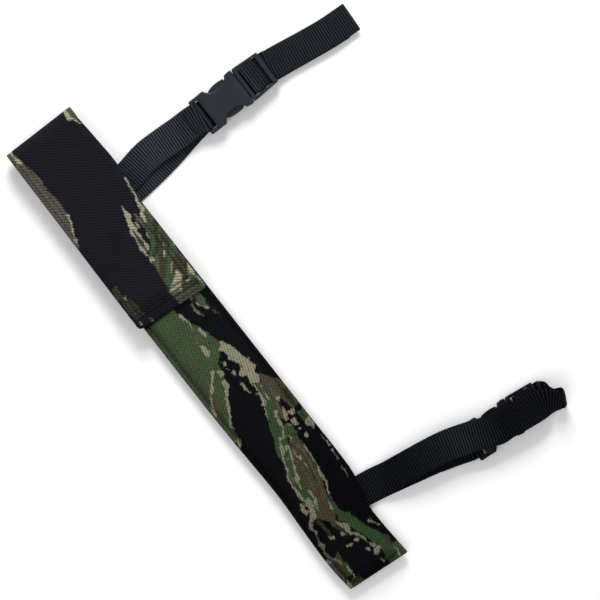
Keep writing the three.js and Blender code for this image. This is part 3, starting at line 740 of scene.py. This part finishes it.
def turned_in(grid, rings):
    """Faces that carry a grid's edge down and back inside, through rings of (inset, height)."""
    rows, cols = grid.shape[:2]
    index = np.arange(rows * cols).reshape(rows, cols)
    path = np.concatenate([index[:0:-1, 0], index[0, :-1], index[:, -1]])
    flat = grid.reshape(-1, 3)
    edge = np.gradient(flat[path][:, :2], axis=0)
    inward = np.stack([-edge[:, 1], edge[:, 0]], -1)
    inward /= np.maximum(np.linalg.norm(inward, axis=1, keepdims=True), 1e-9)
    points, faces, before, start = [], [], path, rows * cols
    for inset, height in rings:
        ring = flat[path].copy()
        ring[:, :2] += inward * inset
        ring[:, 2] = height
        points.append(ring)
        now = start + np.arange(len(path))
        faces.append(np.stack([before[:-1], now[:-1], now[1:], before[1:]], -1))
        before, start = now, start + len(path)
    return np.concatenate(points), np.concatenate(faces)


def build_cover():
    y_values = np.concatenate([spaced(-146.5, 30, 0.42), spaced(31, MOUTH_Y, 1.2)])
    x, y = panel_grid(SLEEVE, y_values, 100)
    grid = on_surface(x, y, cover_height)
    hem = []
    for back, drop in ((0.12, -0.3), (0.0, -0.75), (-1.0, -0.8), (-4.0, -0.8), (-8.0, -0.85)):
        row = grid[-1].copy()
        row[:, 1] += back
        row[:, 2] += drop
        hem.append(row)
    grid = np.concatenate([grid, np.array(hem)])
    rows, cols = grid.shape[:2]
    more, sides = turned_in(grid[: len(y_values)], COVER_TURN_IN)
    sides = np.where(sides >= len(y_values) * cols, sides + (rows - len(y_values)) * cols, sides)
    points = np.concatenate([grid.reshape(-1, 3), more])
    faces = np.concatenate([grid_faces(rows, cols), sides])
    tint = covered_print(points[:, 0], points[:, 1], printed(points[:, 0], points[:, 1], "night", BODY_PRINT))
    # painted light: the cover's colour is made up to 30 % darker towards its lower end, as painted shade
    # where the light falls off
    painted_falloff = 1.0 - 0.3 * step_up(20, -140, points[:, 1])
    cover = make_piece("front_cover", points, faces, cover_cloth, tint=tint * painted_falloff[:, None])
    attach(cover, "sleeve")
    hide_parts("front_panel")


def build_back():
    x, y = panel_grid(SLEEVE, spaced(-147, FOLD["start"], 1.0), 44, BACK["inset"])
    d = inside(SLEEVE, x, y)
    low = 0.1 * hump(COVER_SEAM, 0.8, d) + 0.12 * (1 - step_up(0, 1.2, d))
    grid = np.stack([x, y, BACK["top"] - 0.15 * (1 - step_up(0, 1.0, d))], -1)
    points, faces, _ = thick_grid(grid, BACK["thickness"], 0.1)
    count = x.size
    points[count: 2 * count, 2] = (low + 0.03 * rough(x / 3, y / 3, 81)).ravel()
    back = make_piece("back_cloth", points, faces, lining_cloth)
    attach(back, "sleeve")
    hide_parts("back_panel")


def build_foam():
    x, y = panel_grid(SLEEVE, spaced(-147, 136, 2.0), 20, FOAM["inset"])
    d = np.minimum(inside(SLEEVE, x, y) - FOAM["inset"], 3)
    top = FOAM["side"] + FOAM["rise"] * step_up(0, 2, d) + 0.08 * (rough(x / 2, y / 2, 91) - 0.5)
    points, faces, _ = thick_grid(np.stack([x, y, top], -1), FOAM["thickness"], 0.05)
    count = x.size
    points[count: 2 * count, 2] = FOAM["foot"]
    foam_piece = make_piece("foam_layer", points, faces, foam_cells)
    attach(foam_piece, "sleeve")
    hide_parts("foam_pad")


def on_surface(x, y, height):
    return np.stack([x, y, height(x, y)], -1)


def edge_line(panel, inset, low, high, side, height):
    """Line up one side of a panel, a set distance inside its edge, on a surface."""
    y = spaced(low, high, 0.5)
    left, right = edges_of(panel, y)
    return on_surface(left + inset if side < 0 else right - inset, y, height)


def foot_line(panel, inset, left_x, right_x, height):
    """Line across a panel, a set distance above its lower edge, on a surface."""
    x = spaced(left_x, right_x, 0.5)
    return on_surface(x, lower_line(panel, x) + inset, height)


def build_sleeve_stitches():
    up, down = (0, 0, 1), (0, 0, -1)
    rows = [(edge_line(SLEEVE, COVER_SEAM, -140.5, 136, side, cover_height), up) for side in (-1, 1)]
    rows.append((foot_line(SLEEVE, COVER_SEAM, -14.2, 13.6, cover_height), up))
    mouth = spaced(-16.5, 16.2, 0.5)
    for y in (MOUTH_Y - 2, MOUTH_Y - 6):
        rows.append((on_surface(mouth, np.full_like(mouth, y), cover_height), up))
    rows += [(edge_line(SLEEVE, COVER_SEAM, -140.5, 132, side, back_height), down) for side in (-1, 1)]
    rows.append((foot_line(SLEEVE, COVER_SEAM, -14.2, 13.6, back_height), down))
    seam = spaced(-19, 18.6, 0.5)
    line = np.stack([seam, np.full_like(seam, FOLD["start"] + 1.6), np.full_like(seam, -0.02)], -1)
    rows.append((line, down))
    points, faces = stitches(rows)
    thread = make_piece("sleeve_stitching", points, faces, thread_black)
    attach(thread, "sleeve")


# ---------------------------------------------------------------- flap


def flap_creases(x, y, d, width=0.45):
    """How far a point lies in the crease of a sewn row: rows across the end, rows up the sides."""
    across = sum(hump(lower_line(FLAP, x) + set_back, width, y) for set_back in HEM_ROWS)
    up = sum(hump(inset, 0.5, d) for inset in SIDE_ROWS)
    return across * step_up(2.5, 4.5, d), up * step_up(29, 33, y)


def flap_height(x, y):
    d = inside(FLAP, x, y)
    rows, sides = flap_creases(x, y, d)
    z = smooth(FLAP_TOP, np.clip(y, 24, FOLD["y"]))
    z = z - 1.25 * np.clip(1 - d / 4.2, 0, 1) ** 2
    puff = sum(hump(lower_line(FLAP, x) + set_back, 0.9, y) for set_back in (3.3, 5.9, 8.5))
    z = z + 0.16 * puff * step_up(2.5, 4.5, d) - 0.2 * (rows + sides)
    drape = 0.5 * (rough((x + 50) / 13, (y + 50) / 21, 101) - 0.5)
    pucker = 0.09 * np.sin(2 * np.pi * y / 6.1 + 5 * noise(x / 8, y / 8, 111)) * hump(3.7, 1.6, d)
    return z + drape * step_up(1, 6, d) * (1 - step_up(132, 140, y)) + pucker


def build_flap():
    lower = spaced(28, FOLD["y"], 0.45)
    x, y = panel_grid(FLAP, lower, 98, top=FOLD["y"])
    top = on_surface(x, y, flap_height)
    angle = np.radians(np.linspace(90, -90, 26)[1:])
    row, fold_top = top[-1], FOLD["z"] + FOLD["radius"]
    roll, back = [], []
    for a in angle:
        line = row.copy()
        line[:, 1] = FOLD["y"] + FOLD["radius"] * math.cos(a)
        line[:, 2] = FOLD["z"] + FOLD["radius"] * math.sin(a) + (row[:, 2] - fold_top) * (1 + math.sin(a)) / 2
        roll.append(line)
    for reach in spaced(FOLD["y"] - 0.6, FOLD["start"], 0.6):
        line = roll[-1].copy()
        share = (FOLD["y"] - reach) / (FOLD["y"] - FOLD["start"])
        left, right = edges_of(SLEEVE, reach)
        across = (line[:, 0] - line[0, 0]) / (line[-1, 0] - line[0, 0])
        line[:, 0] = line[:, 0] * (1 - share) + (left + (right - left) * across) * share
        line[:, 1] = reach
        line[:, 2] = 0.0
        back.append(line)
    grid = np.concatenate([top, np.array(roll), np.array(back)])
    beyond = grid[len(top) - 1:]
    length = np.cumsum(np.linalg.norm(np.diff(beyond, axis=0), axis=2), axis=0)
    cloth = np.stack([grid[..., 0], np.concatenate([y, FOLD["y"] + length])], -1).reshape(-1, 2)
    points, faces, source = thick_grid(grid, FLAP_THICKNESS)
    place = cloth[source]
    # painted light: the flap's print and its underside lie on the lighter black
    tint = printed(place[:, 0], place[:, 1], "slate", FLAP_PRINT)
    d = inside(FLAP, place[:, 0], place[:, 1])
    # painted shade: the print is darkened along the creases of the sewn rows, across the end and, below y 70,
    # up the sides
    across, up = flap_creases(place[:, 0], place[:, 1], d, 0.75)
    tint *= 1 - np.clip(0.6 * across + 0.35 * up * (place[:, 1] < 70), 0, 0.6)[:, None]
    count = grid.shape[0] * grid.shape[1]
    tint[count: 2 * count] = INK["slate"]
    piece = make_piece("flap_cloth", points, faces, flap_cloth, cloth=place, tint=tint)
    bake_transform(piece)
    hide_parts("flap_outer", "flap_fold")


def build_flap_lining():
    x, y = panel_grid(FLAP, spaced(28, LINING["top_y"], 1.2), 40, LINING["inset"], LINING["top_y"])
    grid = np.stack([x, y, flap_height(x, y) - LINING["below"]], -1)
    points, faces, _ = thick_grid(grid, LINING["thickness"], 0.03)
    lining = make_piece("flap_underside", points, faces, lining_cloth)
    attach(lining, "flap")
    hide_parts("flap_lining")


def build_flap_stitches():
    up = (0, 0, 1)
    rows = [(edge_line(FLAP, inset, low, 138, side, flap_height), up)
            for inset in SIDE_ROWS for low, side in ((34, -1), (31, 1))]
    rows += [(foot_line(FLAP, set_back, -19, 16.6, flap_height), up) for set_back in HEM_ROWS]
    points, faces = stitches(rows, 1.3)
    thread = make_piece("flap_stitching", points, faces, thread_black)
    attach(thread, "flap")


def patch_grid(name, step):
    """Grid over the sloping patch of a CAD node, between its lowest and highest corners."""
    low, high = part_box(name)
    left, right = low.x / MM, high.x / MM
    slope = (FLAP["low_right"] - FLAP["low_left"]) / (smooth(FLAP_RIGHT, 28) - smooth(FLAP_LEFT, 28))
    drop = slope * (right - left)
    depth = (high.y - low.y) / MM + drop
    x, v = np.meshgrid(spaced(left, right, step), spaced(0, depth, step))
    y = low.y / MM - drop + slope * (x - left) + v
    return x, y, low.z / MM, high.z / MM


def build_tapes():
    x, y, low, high = patch_grid("loop_patch", 0.4)
    pile = np.minimum(high, cover_height(x, y) + high - low) - 0.16 + 0.16 * noise(x / 0.45, y / 0.45, 121)
    points, faces, _ = thick_grid(np.stack([x, y, pile], -1), high - low - 0.2, 0.05)
    loops = make_piece("loop_tape", points, faces, loop_pile)
    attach(loops, "sleeve")
    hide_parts("loop_patch")

    x, y, low, high = patch_grid("hook_patch", 1.0)
    points, faces, _ = thick_grid(np.stack([x, y, np.full_like(x, high)], -1), 0.22, 0.02)
    root = np.stack([x[1:-1, 1:-1].ravel(), y[1:-1, 1:-1].ravel()], -1)
    bend_over = np.array([(0, 0, 0), (0, 0.02, -0.16), (0, 0.12, -0.28), (0, 0.26, -0.3)])
    stems = np.concatenate([root, np.full((len(root), 1), high - 0.24)], -1)[:, None] + bend_over[None]
    more, quads = tubes(stems, [0.1, 0.09, 0.08, 0.06], sides=4)
    faces = np.concatenate([faces, quads + len(points)])
    hooks = make_piece("hook_tape", np.concatenate([points, more]), faces, hook_nylon)
    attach(hooks, "flap")
    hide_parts("hook_patch")


# ---------------------------------------------------------------- webbing loops


def spline(points, t):
    """Centripetal Catmull-Rom curve through points, at places t from 0 to 1."""
    points = np.asarray(points, float)
    place = np.clip(np.asarray(t, float) * (len(points) - 1), 0, len(points) - 1)
    index = np.minimum(place.astype(int), len(points) - 2)
    w = (place - index)[:, None]
    padded = np.concatenate([[2 * points[0] - points[1]], points, [2 * points[-1] - points[-2]]])
    p = [padded[index + k] for k in range(4)]
    gap = [np.maximum(np.linalg.norm(p[k + 1] - p[k], axis=1), 1e-4)[:, None] ** 0.5 for k in range(3)]
    start = ((p[1] - p[0]) / gap[0] - (p[2] - p[0]) / (gap[0] + gap[1]) + (p[2] - p[1]) / gap[1]) * gap[1]
    end = ((p[2] - p[1]) / gap[1] - (p[3] - p[1]) / (gap[1] + gap[2]) + (p[3] - p[2]) / gap[2]) * gap[1]
    cubic = 2 * p[1] - 2 * p[2] + start + end
    square = -3 * p[1] + 3 * p[2] - 2 * start - end
    return p[1] + start * w + square * w**2 + cubic * w**3


def free_run(points, step=3.0):
    """Sections (x, y, z, heading, roll) along a smooth run through points of (x, y, z, roll in degrees)."""
    full = np.array([(*point, 0.0)[:4] for point in points], float)
    count = max(len(full) - 1, int(np.linalg.norm(np.diff(full[:, :3], axis=0), axis=1).sum() / step))
    t = np.linspace(0, 1, count + 1)
    place = spline(full[:, :3], t)
    before, after = spline(full[:, :3], np.maximum(t - 1e-3, 0)), spline(full[:, :3], np.minimum(t + 1e-3, 1))
    heading = np.arctan2(after[:, 1] - before[:, 1], after[:, 0] - before[:, 0])
    heading = (heading + math.pi / 2) % math.pi - math.pi / 2
    roll = np.radians(np.interp(t * (len(full) - 1), np.arange(len(full)), full[:, 3]))
    return [tuple(row) for row in np.column_stack([place, heading, roll])]


def bend(centre, radius, start, end, heading=0.0, roll=0.0):
    sections = []
    for angle in np.radians(np.linspace(start, end, max(3, int(abs(end - start) / 15)))):
        along, above = radius * math.cos(angle), radius * math.sin(angle)
        side = -math.sin(roll) * above
        x = centre[0] + along * math.cos(heading) - side * math.sin(heading)
        y = centre[1] + along * math.sin(heading) + side * math.cos(heading)
        sections.append((x, y, centre[2] + math.cos(roll) * above, heading, roll))
    return sections


def in_buckle(buckle, along, above):
    x = buckle["x"] + along * math.cos(buckle["heading"])
    y = buckle["y"] + along * math.sin(buckle["heading"])
    return x, y, buckle["z"] + buckle["flip"] * above


def threaded(buckle, places):
    return [(*in_buckle(buckle, *place), buckle["heading"], 0.0) for place in places]


WRAP_ROUTE = [(1.2 + WRAP_RADIUS * math.cos(math.radians(a)), WRAP_RADIUS * math.sin(math.radians(a)))
              for a in range(90, -91, -15)]
LADDER_ROUTE = [(45, -2), (40, -2), (33.1, -2), (32.4, -1.75), (32, -1), (32, 0.7), (32.3, 1.45), (33.1, 1.7),
                (35.5, 1.74), (38.3, 1.7), (39.3, 1.35), (40.2, 0.45), (41.1, -0.4), (42, -0.65), (45, -0.65)]


def left_fold(y):
    return bend((LEFT_FOLD_X, y, (SEWN_Z + LOW_Z) / 2), (SEWN_Z - LOW_Z) / 2, 90, 270)


def upper_route():
    """The whole upper webbing: from its tail under the crossbar, round the guard, to the free tail."""
    sewn = [(LEFT_FOLD_X, 96, SEWN_Z), (5, 97, SEWN_Z), (SWING_X, 99.4, SEWN_Z)]
    rise = [(30, 100.5, -0.9), (33.5, 101.1, -0.3), (38, 101.6, 0.1), (50, 101.3, 0.9), (58, 100.8, 2.3),
            (62, 100.7, 2.9), (64.5, 100.7, 2.85), (67, 100.6, 3.5), (70, 100.3, 4.1)]
    tuck = [(70.5, 100, 0.35), (67.5, 100.4, 1.1), (64.5, 100.7, 1.55), (62, 100.7, 1.4), (57, 100.9, 0.4),
            (52, 101.1, -0.3)]
    low = [(x, y, LOW_Z) for x, y in (
        (LEFT_FOLD_X, 96), (2, 93.2), (SWING_X, 93), (45, 95.2), (60, 98), (72, 99.7), (90, 100), (110, 99.8),
        (120, 98.6), (130, 97.2), (150, 94.4), (159.3, 93.5))]
    load = [(159.3, 93.5, -1), (150, 94.4, -1), (135, 96.6, -1), (124, 98.4, -0.9), (118, 99.2, 0)]
    tail = [(118, 99.2, 1.4), (124, 98.4, 0.55), (135, 96.6, 0.4), (150, 94.4, 0.4), (167.4, 93.3, 0)]
    return [
        *free_run(tuck)[::-1], *threaded(UPPER, WRAP_ROUTE)[::-1], *free_run(sewn + rise)[::-1],
        *left_fold(96)[1:-1], *free_run(low),
        *bend((159.3, 93.5, LOW_Z + 0.7), 0.7, -90, 90, math.radians(-4))[1:-1],
        *free_run(load), *threaded(UPPER, LADDER_ROUTE), *free_run(tail),
    ]


def lower_route():
    """The whole lower webbing: its short side is the layer that lies on the table."""
    low = [(LEFT_FOLD_X, -105.2, LOW_Z), (4, -105.6, LOW_Z), (SWING_X, -109, LOW_Z), (45, -113.7, LOW_Z),
           (62, -117.9, -2.3), (72, -121, -1.9), in_buckle(LOWER, -1, WRAP_RADIUS)]
    tuck = [in_buckle(LOWER, -0.5, 0.05 - WRAP_RADIUS), (73, -121.4, 0.9), (68, -119.8, -0.4),
            (60, -117.4, -0.9)]
    roll, spine, heading = 58, (131.2, -132.6, 5), math.radians(-20)
    fold = bend(spine, 1.6, 90, -90, heading, math.radians(roll))
    over = [(LEFT_FOLD_X, -105.2, SEWN_Z), (4, -105.4, SEWN_Z), (SWING_X, -107.9, SEWN_Z), (34, -109.8, 1.5),
            (44, -111.2, 4), (55, -112.8, 5.5), (68, -115.3, 5.6), (80, -119.2, 5.6), (92, -123.6, 5.6),
            (104, -126.1, 5.8), (114, -127.6, 6.6, 8), (122.5, -129.3, 7.2, 24), (*fold[0][:3], roll)]
    twist = [(129.6, -130.6, 3.8, -18, 55), (127.4, -129.1, 3.2, -12, 45), (125.3, -127.4, 2.75, -8, 24)]
    twist = [(*place, math.radians(turn), math.radians(lean)) for *place, turn, lean in twist]
    return [
        *free_run(tuck)[::-1], *threaded(LOWER, WRAP_ROUTE)[::-1], *free_run(low)[::-1],
        *left_fold(-105.2)[::-1][1:-1], *free_run(over), *fold[1:-1],
        fold[-1], *twist, *threaded(LOWER, LADDER_ROUTE), *threaded(LOWER, [(48, -0.65)]),
    ]


def dense(route, step=RIB / 4):
    """Evenly spaced places along a route, with the frame of the webbing at each."""
    route = np.array(route)
    apart = np.concatenate([[True], np.linalg.norm(np.diff(route[:, :3], axis=0), axis=1) > 0.05])
    route = route[apart]
    t = np.linspace(0, 1, len(route) * 24)
    fine = spline(route[:, :3], t)
    turn = np.stack([np.interp(t * (len(route) - 1), np.arange(len(route)), route[:, k]) for k in (3, 4)], -1)
    reach = np.concatenate([[0], np.cumsum(np.linalg.norm(np.diff(fine, axis=0), axis=1))])
    s = np.arange(0, reach[-1], step)
    centre = np.stack([np.interp(s, reach, fine[:, k]) for k in range(3)], -1)
    heading, roll = (np.interp(s, reach, turn[:, k]) for k in range(2))
    wide = 5
    eased = np.pad(centre, ((wide, wide), (0, 0)), "edge")
    tangent = np.gradient(centre, axis=0) + 0.15 * (eased[2 * wide:] - eased[: -2 * wide])
    tangent /= np.linalg.norm(tangent, axis=1, keepdims=True)
    level = np.stack([-np.sin(heading), np.cos(heading), np.zeros_like(s)], -1)
    across = level * np.cos(roll)[:, None]
    across[:, 2] = np.sin(roll)
    across -= tangent * (across * tangent).sum(1, keepdims=True)
    across /= np.linalg.norm(across, axis=1, keepdims=True)
    return {"s": s, "centre": centre, "across": across, "normal": np.cross(tangent, across)}


# Places across the webbing, from edge to edge.
BESIDE = np.array([-1, -0.995, -0.97, -0.9, -0.7, -0.45, -0.15, 0.15, 0.45, 0.7, 0.9, 0.97, 0.995, 1])

# Colour of the webbing, whose upper loop is a lighter copy of the lower as painted light, and the painted
# light and shade along the webbing: lighter where it faces the lamps, darker where shade falls.
WEBBING_COLOUR_WITH_PAINTED_LIGHT = {"upper": (0.0108, 0.0120, 0.0165), "lower": (0.0054, 0.0062, 0.0074)}
WEBBING_PAINTED_LIGHT = {
    "upper": [(0, 1.1), (22, 1.1), (34, 1.3), (45, 1.9), (62, 1.9), (76, 1.5), (110, 1.4), (140, 2),
              (170, 1.9), (205, 1.2), (240, 1), (310, 1.2), (338, 2), (357, 2), (363, 1), (372, 0.9),
              (400, 1), (420, 0.95)],
    "lower": [(0, 1), (135, 1), (166, 1.2), (186, 0.8), (205, 1.2), (221, 1.9), (236, 1.3), (246, 0.75),
              (264, 0.9), (280, 1.2), (300, 1.2)],
}


def webbing_piece(loop, part, path, first, last, end_caps=(False, False)):
    """Ribbed webbing between two places of a path."""
    s = path["s"][first: last + 1]
    rib = np.cos(2 * np.pi * s / RIB + np.pi)
    side = np.concatenate([BESIDE, BESIDE[::-1]])
    face = np.concatenate([np.ones(len(BESIDE)), -np.ones(len(BESIDE))])
    half_thick = WEBBING_CORE * np.clip(1 - np.abs(side) ** 14, 0.0, 1) ** 0.5
    swell = RIB_SWELL * np.clip(1 - np.abs(side) ** 8, 0, 1)
    height = (half_thick + swell * rib[:, None]) * face
    scallop = 0.1 * rib[:, None] * (np.abs(side) > 0.98)
    width = side * (WEBBING["width"] / 2 - 0.05) + np.sign(side) * scallop
    fray = 0.1 * (noise(s[:, None] / 9 + side * 0, side * 3 + 7, 131) - 0.5)
    place = path["centre"][first: last + 1]
    across, normal = path["across"][first: last + 1], path["normal"][first: last + 1]
    points = place[:, None] + across[:, None] * width[..., None]
    points = points + normal[:, None] * (height + fray)[..., None]
    rows, around = height.shape
    index = np.arange(rows * around).reshape(rows, around)
    after = np.roll(index, -1, 1)
    faces = [np.stack([index[:-1], index[1:], after[1:], after[:-1]], -1).reshape(-1, 4)]
    half = len(BESIDE)
    for end, closed in zip((0, rows - 1), end_caps):
        if closed:
            left, right = index[end, : half], index[end, :half - 1: -1]
            cap = np.stack([left[:-1], left[1:], right[1:], right[:-1]], -1)
            faces.append(cap if end == 0 else cap[:, ::-1])
    cloth = np.stack([np.broadcast_to(width, height.shape), np.broadcast_to(s[:, None], height.shape)], -1)
    # painted light and shade along the webbing, times the loop's colour
    lit_and_shaded = smooth(WEBBING_PAINTED_LIGHT[loop], s)[:, None, None] * np.array(WEBBING_COLOUR_WITH_PAINTED_LIGHT[loop])
    tint = np.broadcast_to(lit_and_shaded, (rows, around, 3)).reshape(-1, 3)
    return make_piece(f"{loop}_webbing_{part}", points.reshape(-1, 3), np.concatenate(faces),
                      webbing_cloth[loop], cloth.reshape(-1, 2), tint)


def crossing(path, x, start):
    """First rib valley after a place at which the path passes x."""
    beyond = path["centre"][start:, 0] - x
    index = start + int(np.argmax(np.sign(beyond) != np.sign(beyond[0])))
    return index - index % 4


# Where the loop's rigid part begins, where its far bend is, and where its slack follows a pulled latch.
LOOPS = {
    "upper": {"route": upper_route, "rigid_x": 60, "far_x": 150, "slack": (70, 148)},
    "lower": {"route": lower_route, "rigid_x": 50, "far_x": 122, "slack": (52, 112)},
}


def build_webbing(loop):
    path = dense(LOOPS[loop]["route"]())
    last = len(path["s"]) - 1
    fold = int(np.argmin(path["centre"][:, 0]))
    hidden = crossing(path, 16, fold)
    swung = crossing(path, LOOPS[loop]["rigid_x"], hidden)
    far = int(np.argmax(path["centre"][:, 0] > LOOPS[loop]["far_x"]))
    far -= far % 4
    inner = webbing_piece(loop, "sewn", path, 0, hidden, (True, False))
    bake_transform(inner)
    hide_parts(f"{loop}_strap_anchor", f"{loop}_short_strap")
    outer = webbing_piece(loop, "loop", path, hidden, swung)
    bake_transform(outer)
    carried = webbing_piece(loop, "slack", path, swung, far)
    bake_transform(carried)
    led = webbing_piece(loop, "tail", path, far, last, (False, True))
    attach(led, f"{loop}_latch")
    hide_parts(f"{loop}_long_strap")
    return path


def build_strap_stitches(loop, path):
    """Bar tack that holds the short side of the loop sewn back on itself behind the crossbar."""
    x = path["centre"][:, 0]
    short = np.arange(int(np.argmin(x)))
    outer_leg = short[int(np.argmax(x[short])):]
    k = outer_leg[int(np.argmin(np.abs(x[outer_leg] - TACK_X)))]
    centre, across, normal = (path[key][k] for key in ("centre", "across", "normal"))
    up = normal * np.sign(normal[2])
    line = zigzag(centre + up * TACK["lift"], across, np.cross(across, up), TACK["length"], TACK["width"])
    points, faces = tubes(line[None], np.full(len(line), TACK["radius"]))
    piece = make_piece(f"{loop}_bar_tack", points, faces, thread_black)
    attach(piece, f"{loop}_strap")


# ---------------------------------------------------------------- moulded parts

SMOOTH_BELOW = math.radians(38)
ROUNDED_ABOVE = math.radians(42)
EDGE_ROUND = 0.22 * MM


def soft_edges():
    """Geometry nodes that shade a faceted solid smooth between its sharp edges."""
    group = bpy.data.node_groups.new("soft_edges", "GeometryNodeTree")
    group.interface.new_socket("Geometry", in_out="INPUT", socket_type="NodeSocketGeometry")
    group.interface.new_socket("Geometry", in_out="OUTPUT", socket_type="NodeSocketGeometry")
    kinds = ("NodeGroupInput", "GeometryNodeMergeByDistance", "GeometryNodeSetShadeSmooth",
             "GeometryNodeSetShadeSmooth", "GeometryNodeInputMeshEdgeAngle", "FunctionNodeCompare",
             "NodeGroupOutput")
    start, merge, faces, edges, angle, below, end = (group.nodes.new(kind) for kind in kinds)
    merge.inputs["Distance"].default_value = 2e-6
    edges.domain = "EDGE"
    below.operation = "LESS_THAN"
    below.inputs[1].default_value = SMOOTH_BELOW
    for source, target in ((start, merge), (merge, faces), (faces, edges), (edges, end)):
        group.links.new(source.outputs[0], target.inputs[0])
    group.links.new(angle.outputs["Unsigned Angle"], below.inputs[0])
    group.links.new(below.outputs[0], edges.inputs["Shade Smooth"])
    return group


def finish_moulding():
    group = soft_edges()
    for loop in ("upper", "lower"):
        for part in ("buckle_housing", "buckle_frame", "prong_a", "prong_b"):
            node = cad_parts[f"{loop}_{part}"]
            node.data.materials.clear()
            node.data.materials.append(buckle_plastic[loop])
            node.modifiers.new("soft_edges", "NODES").node_group = group
            rounding = node.modifiers.new("rounding", "BEVEL")
            rounding.width = EDGE_ROUND
            rounding.segments = 2
            rounding.limit_method = "ANGLE"
            rounding.angle_limit = ROUNDED_ABOVE
            rounding.harden_normals = True
            node.modifiers.new("even_normals", "WEIGHTED_NORMAL").keep_sharp = True
    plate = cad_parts["insert_plate"]
    plate.data.materials.clear()
    plate.data.materials.append(plate_plastic)
    plate.modifiers.new("soft_edges", "NODES").node_group = group


# ---------------------------------------------------------------- studio


# Name, place, size and energy of each lamp, all turned to one place on the guard.
LAMPS = [("key", (0.50, 0.72, 0.62), 0.45, 10.5), ("fill", (-0.5, -0.3, 1.0), 0.9, 4.0)]
LIT_PLACE = (0.06, 0, 0)


def build_stage():
    bpy.ops.mesh.primitive_plane_add(size=6, location=(0, 0, FLOOR_Z * MM - 0.00015))
    floor = bpy.context.object
    floor.name = "floor"
    nodes = Nodes("floor_white")
    nodes.shader.inputs["Base Color"].default_value = (0.93, 0.93, 0.93, 1)
    nodes.shader.inputs["Roughness"].default_value = 0.9
    nodes.shader.inputs["Specular IOR Level"].default_value = 0.1
    floor.data.materials.append(nodes.material)
    floor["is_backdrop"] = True

    world = bpy.data.worlds.new("studio")
    bpy.context.scene.world = world
    world.use_nodes = True
    world.node_tree.nodes["Background"].inputs[0].default_value = (1, 1, 1, 1)
    world.node_tree.nodes["Background"].inputs[1].default_value = 0.5

    for name, place, size, energy in LAMPS:
        lamp = bpy.data.lights.new(name, "AREA")
        lamp.size = size
        lamp.energy = energy
        light = bpy.data.objects.new(name, lamp)
        bpy.context.scene.collection.objects.link(light)
        light.location = place
        light.rotation_euler = (Vector(LIT_PLACE) - Vector(place)).to_track_quat("-Z", "Y").to_euler()
    bpy.context.scene.view_settings.view_transform = "Standard"


def build_camera():
    """Straight above, turned so that the guard lies across the picture from lower right to upper left."""
    camera = bpy.data.cameras.new("camera")
    camera.sensor_width = 36
    camera.lens = 200
    holder = bpy.data.objects.new("camera", camera)
    bpy.context.scene.collection.objects.link(holder)
    holder.location = (0.0541, -0.0079, 1.754)
    holder.rotation_euler = (0, 0, math.radians(-37.8))
    bpy.context.scene.camera = holder


build_camera()
build_stage()
build_cover()
build_back()
build_foam()
build_sleeve_stitches()
build_flap()
build_flap_lining()
build_flap_stitches()
build_tapes()
for loop in LOOPS:
    build_strap_stitches(loop, build_webbing(loop))
finish_moulding()

plain = lambda box: [list(map(float, corner)) for corner in box]
{"cad": plain(cad_box), "visual": plain(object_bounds())}
